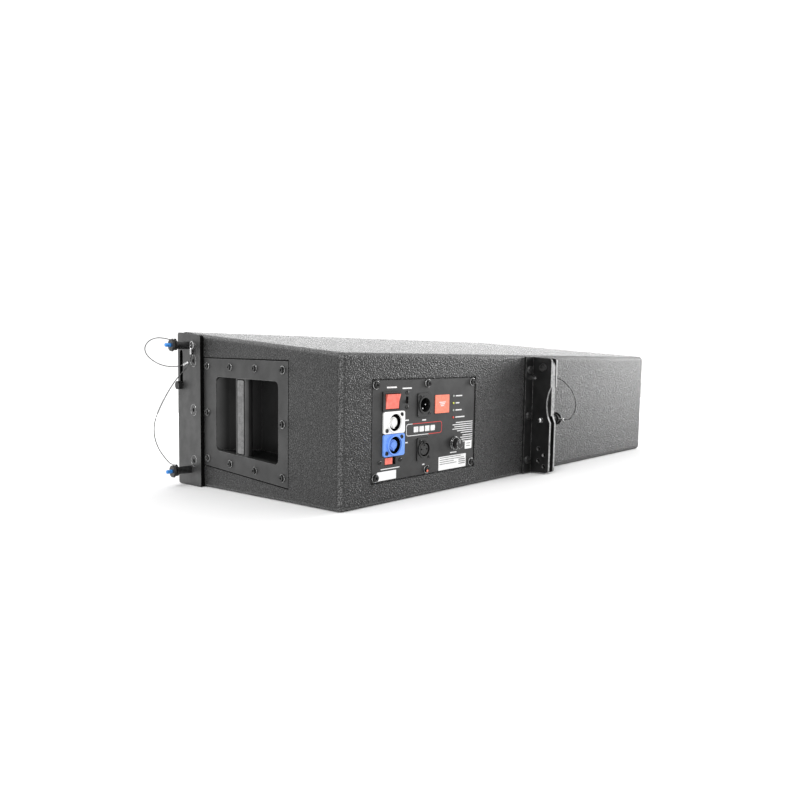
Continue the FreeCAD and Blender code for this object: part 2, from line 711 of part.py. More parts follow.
def compression_driver():
    """The high-frequency driver on the horn's throat."""
    centre = ("0", f"{BAFFLE_FACE} + horn_depth", "0")
    body = stack("comp_body", "+y", centre, [
        ("throat_flange", "0", "8"), ("comp_radius", "8", "comp_depth"),
        ("comp_radius - 12", "comp_depth", "comp_depth + 14", "comp_radius - 20"),
    ])
    return cut("compression_driver", body, [
        rod("comp_exit", "+y", centre, "throat / 2 - 1", "-1", "20")])


# --------------------------------------------------------------------------------- handles
def handle_plate(name, side, screws):
    """A flush frame with a moulded pocket behind it, its front wall sloping to the back."""
    def place(distance):
        return x_at(side, distance)

    deep = f"({END} - pocket_depth)"
    frame = block(f"handle_frame_{name}", x_span(side, f"{END} - handle_sheet", END),
                  ("handle_front", "handle_rear"), ("-handle_half", "handle_half"))
    outer = prism(f"pocket_outer_{name}", "xy", [
        (place(f"{END} - 1"), "pocket_front - pocket_wall"),
        (place(f"{END} - pocket_depth / 3"), "pocket_front + pocket_slope / 5 - pocket_wall"),
        (place(f"{END} - pocket_depth * 2 / 3"),
         "pocket_front + pocket_slope / 2 - pocket_wall - 1"),
        (place(f"{deep} - pocket_wall"), "pocket_front + pocket_slope - pocket_wall - 2"),
        (place(f"{deep} - pocket_wall"), "pocket_rear + pocket_wall"),
        (place(f"{END} - 1"), "pocket_rear + pocket_wall"),
    ], "-(pocket_half + pocket_wall)", "pocket_half + pocket_wall")
    inner = prism(f"pocket_inner_{name}", "xy", [
        (place(f"{END} + 1"), "pocket_front"),
        (place(f"{END} - 1"), "pocket_front"),
        (place(f"{END} - pocket_depth / 3"), "pocket_front + pocket_slope / 5"),
        (place(f"{END} - pocket_depth * 2 / 3"), "pocket_front + pocket_slope / 2"),
        (place(deep), "pocket_front + pocket_slope"),
        (place(deep), "pocket_rear"), (place(f"{END} + 1"), "pocket_rear"),
    ], "-pocket_half", "pocket_half")
    ease(inner, "8", lambda edge: edge_runs(edge, "x"))
    return cut(f"handle_plate_{name}", fuse(f"handle_solid_{name}", [frame, outer]),
               [inner, screws])


def handle_bar(name, side):
    """The upright grip across the pocket, its ends against the pocket's two walls."""
    low, high = x_span(side, f"{END} - 2 - grip_depth", f"{END} - 2")
    bar = prism(f"grip_{name}", "xy", [(low, "grip_front"), (high, "grip_front"),
                                      (high, "grip_rear"), (low, "grip_rear")],
                "-pocket_half", "pocket_half")
    return ease(bar, "3.5", lambda edge: edge_runs(edge, "z"))


# --------------------------------------------------------------------------- front rigging
def rigging_plate(name, side, bolts):
    """The steel plate on an end's front edge, with the link bar's slot and two pin bores."""
    plate = prism(f"plate_{name}", "yz", wedge("0", "plate_width", outer_z, "plate_inset"),
                  *x_span(side, END, f"{END} + plate_sheet"))
    ease(plate, "4", lambda edge: edge_runs(edge, "x"))
    through = x_span(side, f"{END} - 1", f"{END} + plate_sheet + 1")
    slot = [block(f"slot_{name}", through,
                  ("slot_centre - slot_half", "slot_centre + slot_half"),
                  ("slot_low + slot_half", "slot_high - slot_half"))]
    for end in ("slot_low + slot_half", "slot_high - slot_half"):
        slot.append(rod(f"slot_end_{name}", out(side), (x_at(side, END), "slot_centre", end),
                        "slot_half", "-1", "plate_sheet + 1"))
    bores = [pin_bore(f"plate_bore_{name}_{height}", side, height)
             for height in ("pin_top", "pin_bottom")]
    return cut(f"rigging_plate_{name}", plate, slot + bores + [bolts])


def link_bar(name, side):
    """The sliding link bar with its stud and knob."""
    face = f"({END} - link_gap)"
    low, high = x_span(side, f"{face} - link_sheet", face)
    middle = "(link_front + link_rear) / 2"
    strip = block(f"link_strip_{name}", (low, high), ("link_front", "link_rear"),
                  ("link_low", "link_high - (link_rear - link_front) / 2"))
    tip = rod(f"link_tip_{name}", "+x", (low, middle, "link_high - (link_rear - link_front) / 2"),
              "(link_rear - link_front) / 2", "0", "link_sheet")
    hole = rod(f"link_eye_{name}", "+x", (low, middle, "link_high - (link_rear - link_front) / 2"),
               "link_hole", "-1", "link_sheet + 1")
    bar = cut(f"link_plain_{name}", fuse(f"link_blank_{name}", [strip, tip]), [hole])
    centre = (x_at(side, face), "slot_centre", "stud_rest")
    stud = stack(f"link_stud_{name}", out(side), centre, [
        ("stud_radius", "-1", "link_gap + plate_sheet + 1"),
        ("knob_radius", "link_gap + plate_sheet + 0.6", "link_gap + plate_sheet + knob_height"),
    ])
    return fuse(f"link_bar_{name}", [bar, stud])


def lanyard_rings():
    """The two stacked ring terminals of each front plate and the one on the rear bracket."""
    rings = []
    for name, side in SIDES.items():
        face = x_at(side, f"{END} + plate_sheet")
        for i, lean in enumerate(("-0.6", "0.6")):
            start, end = f"{i} * ring_sheet", f"{i + 1} * ring_sheet"
            disc = rod(f"ring_disc_{name}_{i}", out(side), (face, "bolt_line", "ring_height"),
                       "ring_radius", start, end)
            barrel = rod(f"ring_barrel_{name}_{i}", "-z",
                         (x_at(side, f"{END} + plate_sheet + 2 + 2.6 * {i}"),
                          f"bolt_line + {i} * 4 - 2", "ring_height"), "eye_radius", "4", "14")
            neck = block(f"ring_neck_{name}_{i}",
                         x_span(side, f"{END} + plate_sheet + {start}",
                                f"{END} + plate_sheet + 2 + 2.6 * {i}"),
                         (f"bolt_line + {i} * 4 - 3.2", f"bolt_line + {i} * 4 - 0.8"),
                         ("ring_height - 7", "ring_height - 4"))
            bore = rod(f"ring_bore_{name}_{i}", out(side), (face, "bolt_line", "ring_height"),
                       "ring_bolt_radius", "-1", "4 * ring_sheet")
            rings.append(cut(f"ring_{name}_{i}", fuse(f"ring_body_{name}_{i}",
                                                     [disc, barrel, neck]), [bore]))
    return rings


def ball_pin(name, direction, centre, grip, eye_turn, eye_base):
    """A ball-lock pin: shank, sleeve, collar with the lanyard's eye, disc head and bore.

    The centre lies where the sleeve starts, and the shank reaches grip back from there.
    """
    body = stack(f"pin_body_{name}", direction, centre, [
        ("pin_shank", f"-({grip})", "1"),
        ("pin_sleeve", "pin_clear", "sleeve_length"),
        ("collar_radius", "sleeve_length - 6", "sleeve_length - 6 + collar_sheet"),
        ("pin_disc", "sleeve_length", "sleeve_length + disc_sheet", "pin_disc * 0.9"),
    ])
    eye = rod(f"pin_eye_{name}", eye_turn, eye_base, "eye_radius", "0", "eye_length")
    bore = rod(f"pin_bore_{name}", direction, centre, "button_bore",
               "sleeve_length + disc_sheet - button_seat", "sleeve_length + disc_sheet + 1")
    return cut(name, fuse(f"pin_solid_{name}", [body, eye]), [bore])


def pin_button(name, direction, centre):
    """The spring-loaded release button in a pin's head, clear of the bottom of its bore."""
    face = "sleeve_length + disc_sheet"
    return stack(name, direction, centre, [
        ("button_radius", f"{face} - button_seat + 4", f"{face} + button_out - 1"),
        ("button_radius", f"{face} + button_out - 1", f"{face} + button_out",
         "button_radius * 0.7"),
    ])


def front_pin_centre(side, height):
    return (x_at(side, f"{END} + plate_sheet"), "pin_line", height)


def front_eye(side, height):
    """Where the lanyard's eye starts on a front pin: on top of the collar, facing forward."""
    middle = f"{END} + plate_sheet + sleeve_length - 6 + collar_sheet / 2"
    return (x_at(side, middle), "pin_line + 1", f"{height} + collar_radius + 0.4")


# ------------------------------------------------------------------------------ rear bracket
REAR = "cab_depth"


def cheek(name, side):
    """One upright plate of the rear bracket, with its shallow notch and its holes."""
    def edge_z(y):
        return f"({outer_z(y)} - bracket_inset)"

    start, end = f"{REAR} + base_sheet - 1", f"{REAR} + cheek_reach"
    plate = prism(f"cheek_plate_{name}", "yz", wedge(start, end, edge_z),
                  *x_span(side, "cheek_inner", "cheek_inner + cheek_sheet"))
    free_corners = ease(plate, "5", lambda edge: edge_runs(edge, "x") and
                        edge.Vertexes[0].Point.y > number(f"{end} - 1"))
    return free_corners


def notch_tool():
    """A round tool that scoops the shallow notch out of both cheeks' free edges."""
    half = "((notch_high - notch_low) / 2)"
    radius = f"(({half} * {half} + notch_deep * notch_deep) / 2 / notch_deep)"
    centre = ("0", f"{REAR} + cheek_reach - notch_deep + {radius}", "(notch_high + notch_low) / 2")
    return rod("notch_tool", "+x", centre, radius, "-base_half", "base_half")


def cheek_holes():
    """Spare link holes through both cheeks, above and below the locking pin."""
    places = [("2.6", "59.5"), ("14.5", "-53.5"), ("24.4", "-63"), ("14.5", "-72.5"),
              ("24.4", "-81")]
    return [rod(f"cheek_hole_{i}", "+x", ("0", f"{REAR} + {reach} + base_sheet", height),
                "cheek_hole", "-20", "20") for i, (reach, height) in enumerate(places)]


def rear_bracket():
    """The welded bracket in the middle of the rear face."""
    def edge_z(y):
        return f"({outer_z(y)} - bracket_inset)"

    base = prism("bracket_base", "yz", wedge(REAR, f"{REAR} + base_sheet", edge_z),
                 "-base_half", "base_half")
    cheeks = [cheek(name, side) for name, side in SIDES.items()]
    tools = [notch_tool()] + cheek_holes()
    tools.append(rod("pivot_hole", "+x", ("0", f"{REAR} + pivot_reach", "pivot_height"),
                     "pivot_radius", "-20", "20"))
    tools.append(rod("rear_pin_hole", "+x", ("0", f"{REAR} + rear_pin_reach", "rear_pin_height"),
                     "pin_shank + pin_clear", "-20", "20"))
    tools.append(rod("anchor_hole", "-x", ("0", f"{REAR} + rear_anchor_reach",
                                           "rear_anchor_height"), "ring_bolt_radius", "0", "20"))
    for i, (x, z) in enumerate(base_bolt_places()):
        tools.append(rod(f"base_bolt_hole_{i}", "+y", (x, REAR, z), "pin_shank", "-1",
                         "base_sheet + 1"))
    return cut("rear_bracket", fuse("bracket_blank", [base] + cheeks), tools)


def base_bolt_places():
    return [(f"{side} * 19", z) for side in (1, -1) for z in ("72", "-1", "-72")]


def rear_bracket_bolts():
    """The pivot bolt, the lanyard's anchor bolt and the six bolts of the base."""
    outside = "cheek_inner + cheek_sheet"
    pivot = stack("pivot_bolt", "+x", ("0", f"{REAR} + pivot_reach", "pivot_height"), [
        ("pivot_radius", f"-({outside} + 4)", outside),
        ("pivot_radius + 2.6", outside, f"{outside} + 3", "pivot_radius + 1.6"),
        ("pivot_radius + 2.6", f"-({outside} + 4)", f"-({outside})"),
    ])
    anchor = stack("anchor_bolt", "-x", ("0", f"{REAR} + rear_anchor_reach",
                                         "rear_anchor_height"), [
        ("ring_bolt_radius", "cheek_inner", f"{outside} + ring_sheet"),
        ("ring_bolt_head", f"{outside} + ring_sheet", f"{outside} + ring_sheet + 2.4",
         "ring_bolt_head * 0.7"),
    ])
    base = [stack(f"base_bolt_{i}", "+y", (x, REAR, z), [
        ("pin_shank", "0", "base_sheet"),
        ("pin_shank + 2.6", "base_sheet", "base_sheet + 3", "pin_shank + 1.8"),
    ]) for i, (x, z) in enumerate(base_bolt_places())]
    return group("rear_bracket_bolts", [pivot, anchor] + base)


def rear_link_bar():
    """The link that hangs from the pivot bolt between the cheeks."""
    centre = ("0", f"{REAR} + pivot_reach", "pivot_height")
    span = ("-rear_link_half", "rear_link_half")
    strip = block("rear_link_strip", span,
                  (f"{REAR} + pivot_reach - rear_link_width",
                   f"{REAR} + pivot_reach + rear_link_width"),
                  ("rear_link_low", "pivot_height"))
    head = rod("rear_link_head", "+x", centre, "rear_link_width", "-rear_link_half",
               "rear_link_half")
    tools = [
        rod("rear_link_pivot_bore", "+x", centre, "pivot_radius + 0.08", "-10", "10"),
        rod("rear_link_eye", "+x", ("0", f"{REAR} + pivot_reach", "rear_link_low + 13"),
            "pin_shank + pin_clear", "-10", "10"),
    ]
    return cut("rear_link_bar", fuse("rear_link_blank", [strip, head]), tools)


def rear_pin_centre():
    return ("-(cheek_inner + cheek_sheet)", f"{REAR} + rear_pin_reach", "rear_pin_height")


def rear_eye():
    """Where the lanyard's eye starts on the rear pin: on the collar, facing rearwards."""
    middle = "cheek_inner + cheek_sheet + sleeve_length - 6 + collar_sheet / 2"
    return (f"-({middle})", f"{REAR} + rear_pin_reach + collar_radius - 2", "rear_pin_height")


def rear_ring():
    """The ring terminal on the left cheek, its barrel facing rearwards."""
    face = "-(cheek_inner + cheek_sheet)"
    centre = (face, f"{REAR} + rear_anchor_reach", "rear_anchor_height")
    disc = rod("rear_ring_disc", "-x", centre, "ring_radius", "0", "ring_sheet")
    barrel = rod("rear_ring_barrel", "+y", (f"{face} - 2", f"{REAR} + rear_anchor_reach",
                                            "rear_anchor_height + 1"), "eye_radius", "5", "15")
    neck = block("rear_ring_neck", (f"{face} - 2.4", face),
                 (f"{REAR} + rear_anchor_reach + 4", f"{REAR} + rear_anchor_reach + 7"),
                 ("rear_anchor_height - 1.4", "rear_anchor_height + 1.4"))
    bore = rod("rear_ring_bore", "-x", centre, "ring_bolt_radius", "-1", "2 * ring_sheet")
    return cut("rear_ring", fuse("rear_ring_body", [disc, barrel, neck]), [bore])


# -------------------------------------------------------------------------------- lanyards
# Wire routes in the cabinet frame, from the ring terminal to the pin's eye: X outward.
UPPER_ROUTE = [
    (408, 51, 88), (408, 51, 80.5), (413.5, 46, 73), (423, 35, 68.5), (436, 21, 68.5),
    (448, 8, 75), (457, -3, 87), (458.5, -4, 99), (453, 1, 109), (444, 9, 113.5),
    (434, 15.5, 112.5), (428.8, 22.5, 110.4), (428.8, 31, 110.4),
]
LOWER_ROUTE = [
    (410.6, 55, 88), (410.6, 55, 78), (416.5, 48, 65), (426, 36, 49), (435, 25, 28),
    (443, 14, 4), (449, 6, -20), (449, 5, -42), (444, 7.5, -61), (436, 11.5, -76),
    (429.5, 17.5, -86), (428.8, 24, -86.6), (428.8, 31, -86.6),
]
REAR_ROUTE = [
    (-11, 439, 60), (-11, 446, 60), (-17, 453, 56), (-27, 459, 46), (-34.5, 463.5, 33),
    (-39, 465, 17), (-38.5, 462.5, 3), (-34, 457.5, -6.5), (-31.8, 452, -7.5),
    (-31.8, 446.7, -7.5),
]


def rounded_path(points):
    """Straight runs joined by the largest tangent arcs that 0.45 of the shorter run allows."""
    points = [Vector(*p) for p in points]
    edges, radii, start = [], [], points[0]
    for before, corner, after in zip(points, points[1:], points[2:]):
        arrive, leave = corner - before, after - corner
        reach = 0.45 * min(arrive.Length, leave.Length)
        turn = arrive.getAngle(leave)
        radii.append(reach / math.tan(turn / 2))
        enter = corner - Vector(arrive).normalize() * reach
        exit_point = corner + Vector(leave).normalize() * reach
        bisector = (Vector(leave).normalize() - Vector(arrive).normalize()).normalize()
        centre = corner + bisector * (radii[-1] / math.cos(turn / 2))
        middle = centre - bisector * radii[-1]
        edges.append(Part.LineSegment(start, enter).toShape())
        edges.append(Part.Arc(enter, middle, exit_point).toShape())
        start = exit_point
    edges.append(Part.LineSegment(start, points[-1]).toShape())
    return Part.Wire(edges), radii


def wire_tube(name, route):
    """A wire of round section along a route, its volume compared with section times length."""
    path, radii = rounded_path(route)
    direction = Vector(*route[1]) - Vector(*route[0])
    ring = Part.Wire(Part.makeCircle(number("wire_radius"), Vector(*route[0]), direction))
    tube = path.makePipeShell([ring], True, False)
    expected = math.pi * number("wire_radius") ** 2 * path.Length
    if abs(tube.Volume / expected - 1) > 0.02:
        raise ValueError(f"{name}: the tube's volume doesn't match its length")
    print(f"{name}: length {path.Length:.1f} mm, smallest radius {min(radii):.1f} mm")
    item = doc.addObject("Part::Feature", name)
    item.Shape = tube
    return item


def mirrored(route, side):
    return [(side * x, y, z) for x, y, z in route]


# ------------------------------------------------------------------------- amplifier panel
def socket_hole(name, u, z, radius):
    return rod(name, "+y", (panel_x(u), PANEL_FACE, z), radius, "-panel_sheet - 1", "1")


def panel_slot(name, u, z, half_x, half_z):
    """A rectangular hole through the panel."""
    return block(name, (f"{panel_x(u)} - ({half_x})", f"{panel_x(u)} + {half_x}"),
                 (f"{PANEL_BACK} - 1", f"{PANEL_FACE} + 1"),
                 (f"({z}) - ({half_z})", f"({z}) + {half_z}"))


def lamp_places():
    return [f"lamp_top - {i} * lamp_pitch" for i in range(4)]


def amp_panel(screws):
    """The painted steel panel with a hole for each thing that is mounted on it."""
    sheet = prism("panel_blank", "xz", [
        (panel_x("panel_left"), "panel_low"), (panel_x("panel_right"), "panel_low"),
        (panel_x("panel_right"), "panel_high"), (panel_x("panel_left"), "panel_high"),
    ], PANEL_BACK, PANEL_FACE)
    ease(sheet, "1.5", lambda edge: edge_runs(edge, "y"))
    tools = [screws, panel_slot("rocker_slot", "rocker_u", "rocker_z",
                                "rocker_frame_x - 1.6", "rocker_frame_z - 1.4")]
    tools += [socket_hole(f"mains_hole_{z}", "mains_u", z, "mains_ring")
              for z in ("mains_out_z", "mains_in_z")]
    tools += [socket_hole(f"signal_hole_{z}", "signal_u", z, "signal_rim")
              for z in ("signal_out_z", "signal_in_z")]
    tools.append(panel_slot("lift_slot", "lift_u", "lift_z", "lever_slot_x", "lever_slot_z"))
    tools.append(socket_hole("volume_hole", "volume_u", "volume_z", "shaft_radius + shaft_clear"))
    tools.append(panel_slot("volt_slot", "volt_u", "volt_z", "volt_window_x + 1",
                            "volt_window_z + 0.6"))
    tools += [socket_hole(f"lamp_hole_{i}", "lamp_u", z, "lamp_radius")
              for i, z in enumerate(lamp_places())]
    return cut("amp_panel", sheet, tools)


CHASSIS_X = (panel_x("panel_left - panel_ledge - chassis_gap"),
             panel_x("panel_right + panel_ledge + chassis_gap"))
CHASSIS_Z = ("panel_low + panel_ledge + chassis_gap", "panel_high - panel_ledge - chassis_gap")


def inset(span, amount):
    return (f"{span[0]} + ({amount})", f"{span[1]} - ({amount})")


def amp_chassis():
    """The folded steel tray behind the panel, closed towards the inside of the cabinet."""
    outer = block("chassis_outer", CHASSIS_X, (f"{PANEL_BACK} - chassis_depth", PANEL_BACK),
                  CHASSIS_Z)
    inner = block("chassis_inner", inset(CHASSIS_X, "chassis_wall"),
                  (f"{PANEL_BACK} - chassis_depth + chassis_wall", f"{PANEL_BACK} + 1"),
                  inset(CHASSIS_Z, "chassis_wall"))
    return cut("amp_chassis", outer, [inner])


def amp_board():
    """The amplifier's circuit board with its transformer, capacitors and heat sink."""
    face = f"{PANEL_BACK} - amp_board_gap"
    back = f"{face} - board_sheet"
    left, right = inset(CHASSIS_X, "chassis_wall + 2")
    low, high = inset(CHASSIS_Z, "chassis_wall + 2")
    parts = [block("board_sheet_blank", (left, right), (back, face), (low, high))]
    parts.append(rod("transformer", "-y", (f"{right} - 32", face, f"{low} + 32"), "24", "1", "26"))
    for i in range(3):
        parts.append(rod(f"capacitor_{i}", "-y", (f"{left} + 16 + {i} * 22", face,
                                                  f"{low} + 16"), "8", "1", "24"))
    for i in range(6):
        parts.append(block(f"heat_fin_{i}", (f"{left} + 10 + {i} * 9", f"{left} + 13 + {i} * 9"),
                           (f"{face} - 24", f"{face} - 1"), (f"{high} - 44", f"{high} - 6")))
    return fuse("amp_board", parts)


def power_switch_frame():
    """The rocker switch's frame: a lip on the panel and a well behind it."""
    centre = panel_x("rocker_u")

    def around(half):
        return (f"{centre} - ({half})", f"{centre} + {half}")

    def height(half):
        return (f"rocker_z - ({half})", f"rocker_z + {half}")

    lip = block("rocker_lip_plate", around("rocker_frame_x"),
                (PANEL_FACE, f"{PANEL_FACE} + rocker_lip"), height("rocker_frame_z"))
    body = block("rocker_case", around("rocker_frame_x - 1.6"),
                 (f"{PANEL_FACE} - rocker_body_depth", f"{PANEL_FACE} + 0.5"),
                 height("rocker_frame_z - 1.4"))
    well = block("rocker_well_tool", around("rocker_half_x + rocker_clear"),
                 (f"{PANEL_FACE} - rocker_well", f"{PANEL_FACE} + rocker_lip + 1"),
                 height("rocker_half_z + rocker_clear"))
    return cut("power_switch_frame", fuse("rocker_solid", [lip, body]), [well])


def power_rocker():
    """The rocker: a shallow V-shaped key, one half pressed in, turning about its middle."""
    low, high = (f"{panel_x('rocker_u')} - rocker_half_x", f"{panel_x('rocker_u')} + rocker_half_x")
    face = f"{PANEL_FACE} + rocker_lip"
    return prism("power_rocker", "yz", [
        (f"{PANEL_FACE} - 1.2", "rocker_z - rocker_half_z + 1.4"),
        (f"{face} - 0.4", "rocker_z - rocker_half_z"),
        (f"{face} + 0.4", "rocker_z"),
        (f"{face} + rocker_out", "rocker_z + rocker_half_z"),
        (f"{PANEL_FACE} + 0.6", "rocker_z + rocker_half_z"),
        (f"{PANEL_FACE} - 3.4", "rocker_z"),
    ], low, high)


def mains_socket(name, z, collar):
    """A round locking mains socket: square flange, collar, round bore and keyed core."""
    centre = (panel_x("mains_u"), PANEL_FACE, z)
    flange = prism(f"{name}_flange", "xz", [
        (f"{panel_x('mains_u')} - mains_half_x", f"{z} - mains_half_z"),
        (f"{panel_x('mains_u')} + mains_half_x", f"{z} - mains_half_z"),
        (f"{panel_x('mains_u')} + mains_half_x", f"{z} + mains_half_z"),
        (f"{panel_x('mains_u')} - mains_half_x", f"{z} + mains_half_z"),
    ], PANEL_FACE, f"{PANEL_FACE} + mains_lip")
    ease(flange, "3", lambda edge: edge_runs(edge, "y"))
    case = rod(f"{name}_case", "+y", centre, "mains_ring", "-mains_body", "mains_lip")
    rim = rod(f"{name}_rim", "+y", centre, f"mains_bore + 1.4", "0", f"mains_lip + {collar}")
    bore = rod(f"{name}_bore", "+y", centre, "mains_bore", "-(mains_body - 6)", "mains_lip + 6")
    shell = cut(f"{name}_shell", fuse(f"{name}_solid", [flange, case, rim]), [bore])
    core = rod(f"{name}_core", "+y", centre, "mains_core", "-(mains_body - 5)", "mains_lip - 1")
    key = block(f"{name}_key", (f"{panel_x('mains_u')} - 1.2", f"{panel_x('mains_u')} + 1.2"),
                (f"{PANEL_FACE} - (mains_body - 5)", f"{PANEL_FACE} + mains_lip - 1"),
                (f"{z} - mains_core - mains_key", f"{z}"))
    return fuse(name, [shell, core, key])


def signal_flange(name, z):
    """The shared metal flange and round case of a signal socket."""
    x = panel_x("signal_u")
    flange = prism(f"{name}_flange", "xz", [
        (f"{x} - signal_flange_x", f"{z} - signal_flange_z"),
        (f"{x} + signal_flange_x", f"{z} - signal_flange_z"),
        (f"{x} + signal_flange_x", f"{z} + signal_flange_z"),
        (f"{x} - signal_flange_x", f"{z} + signal_flange_z"),
    ], PANEL_FACE, f"{PANEL_FACE} + signal_lip")
    ease(flange, "3", lambda edge: edge_runs(edge, "y"))
    case = rod(f"{name}_case", "+y", (x, PANEL_FACE, z), "signal_rim", "-signal_body",
               "signal_lip + 1.2")
    return fuse(f"{name}_solid", [flange, case])


def contact_places(z, turn):
    """Three contacts, at a quarter turn from each other."""
    places = []
    for i in range(3):
        angle = math.radians(turn + 90 * i)
        places.append((f"{panel_x('signal_u')} + contact_ring * {math.cos(angle):.6f}",
                       f"{z} + contact_ring * {math.sin(angle):.6f}"))
    return places


def signal_out_socket():
    """The output socket: an open bore with three contact pins."""
    centre = (panel_x("signal_u"), PANEL_FACE, "signal_out_z")
    bore = rod("signal_out_bore", "+y", centre, "signal_bore", "-signal_bore_depth",
               "signal_lip + 3")
    shell = cut("signal_out_shell", signal_flange("signal_out", "signal_out_z"), [bore])
    pins = [rod(f"signal_contact_{i}", "+y", (x, PANEL_FACE, z), "contact_radius",
                "-(signal_bore_depth + 1)", "contact_length - signal_bore_depth")
            for i, (x, z) in enumerate(contact_places("signal_out_z", 180))]
    return fuse("signal_out_socket", [shell] + pins)


def signal_in_socket():
    """The input socket: a round insert with three contact holes inside an annular gap."""
    x, z = panel_x("signal_u"), "signal_in_z"
    centre = (x, PANEL_FACE, z)
    gap = cut("signal_in_gap", rod("signal_in_gap_outer", "+y", centre, "signal_bore",
                                   "-signal_bore_depth", "signal_lip + 3"),
              [rod("signal_in_insert", "+y", centre, "insert_radius", "-(signal_bore_depth + 1)",
                   "signal_lip")])
    holes = [rod(f"signal_in_hole_{i}", "+y", (hx, PANEL_FACE, hz), "contact_radius",
                 "-10", "signal_lip + 2")
             for i, (hx, hz) in enumerate(contact_places(z, 0))]
    clear = "0.3"
    latch_way = block("latch_way", (f"{x} - (latch_half + {clear})", f"{x} + latch_half + {clear}"),
                      (f"{PANEL_FACE} - latch_depth - 3", f"{PANEL_FACE} + signal_lip + 3"),
                      (f"{z} + signal_bore - 1", f"{z} + signal_bore + latch_height + {clear}"))
    return cut("signal_in_socket", signal_flange("signal_in", z), [gap, latch_way] + holes)


def signal_latch():
    """The press-in tab that releases the plug."""
    x, z = panel_x("signal_u"), "signal_in_z"
    return block("signal_latch", (f"{x} - latch_half", f"{x} + latch_half"),
                 (f"{PANEL_FACE} - latch_depth", f"{PANEL_FACE} + signal_lip + latch_out + 1.2"),
                 (f"{z} + signal_bore - 0.7", f"{z} + signal_bore + latch_height"))


def lift_switch():
    """The slide switch's body behind the panel, open over its lever's travel."""
    x = panel_x("lift_u")
    body = block("lift_case", (f"{x} - lift_half_x", f"{x} + lift_half_x"),
                 (f"{PANEL_BACK} - lift_body", PANEL_BACK),
                 ("lift_z - lift_half_z", "lift_z + lift_half_z"))
    way = block("lift_way", (f"{x} - lever_slot_x", f"{x} + lever_slot_x"),
                (f"{PANEL_BACK} - 4", f"{PANEL_BACK} + 1"),
                ("lift_z - lever_slot_z", "lift_z + lever_slot_z"))
    return cut("lift_switch", body, [way])


def lift_lever():
    x = panel_x("lift_u")
    return block("lift_lever", (f"{x} - lever_half_x", f"{x} + lever_half_x"),
                 (f"{PANEL_BACK} - 3.6", f"{PANEL_FACE} + lever_out"),
                 ("lift_z - lever_rest - lever_half_z", "lift_z - lever_rest + lever_half_z"))


def volume_control():
    """The volume potentiometer behind the panel, around the knob's shaft."""
    centre = (panel_x("volume_u"), PANEL_BACK, "volume_z")
    return cut("volume_control", rod("pot_case", "-y", centre, "pot_radius", "0", "pot_depth"),
               [rod("pot_bore", "-y", centre, "shaft_radius + 0.05", "-1", "pot_depth - 2")])


def volume_knob():
    """The knob with its shaft, and a groove across its face as the pointer."""
    centre = (panel_x("volume_u"), PANEL_FACE, "volume_z")
    body = stack("knob_body", "+y", centre, [
        ("shaft_radius", "-(panel_sheet + pot_depth - 3)", "2"),
        ("volume_radius", "volume_gap", "volume_gap + 3", "volume_radius * 0.9"),
        ("volume_radius * 0.78", "2", "volume_height", "volume_radius * 0.7"),
    ])
    pointer = block("knob_pointer", (f"{panel_x('volume_u')} - 0.6", f"{panel_x('volume_u')} + 0.6"),
                    (f"{PANEL_FACE} + volume_height - 1", f"{PANEL_FACE} + volume_height + 1"),
                    ("volume_z", "volume_z + volume_radius"))
    return cut("volume_knob", body, [pointer])


def voltage_selector():
    """The recessed mains voltage selector with its window."""
    x = panel_x("volt_u")
    lip = block("volt_lip_plate", (f"{x} - volt_half_x", f"{x} + volt_half_x"),
                (f"{PANEL_BACK} - volt_lip", PANEL_BACK), ("volt_z - volt_half_z",
                                                          "volt_z + volt_half_z"))
    body = block("volt_case", (f"{x} - (volt_window_x + 2)", f"{x} + volt_window_x + 2"),
                 (f"{PANEL_BACK} - volt_body", f"{PANEL_BACK} - volt_lip + 0.5"),
                 ("volt_z - volt_half_z", "volt_z + volt_half_z"))
    window = block("volt_window_tool", (f"{x} - volt_window_x", f"{x} + volt_window_x"),
                   (f"{PANEL_BACK} - 6", f"{PANEL_BACK} + 1"),
                   ("volt_z - volt_window_z", "volt_z + volt_window_z"))
    return cut("voltage_selector", fuse("volt_solid", [lip, body]), [window])


def voltage_slider():
    x = f"{panel_x('volt_u')} + slider_rest"
    return block("voltage_slider", (f"{x} - slider_half_x", f"{x} + slider_half_x"),
                 (f"{PANEL_BACK} - 5.6", f"{PANEL_FACE} - slider_out"),
                 ("volt_z - slider_half_z", "volt_z + slider_half_z"))


def status_lamps():
    """Four indicator lamps through the panel."""
    return group("status_lamps", [
        stack(f"lamp_{i}", "+y", (panel_x("lamp_u"), PANEL_FACE, z), [
            ("lamp_radius", "-lamp_body", "lamp_out * 0.4"),
            ("lamp_radius", "lamp_out * 0.4", "lamp_out", "lamp_radius * 0.6"),
        ]) for i, z in enumerate(lamp_places())])


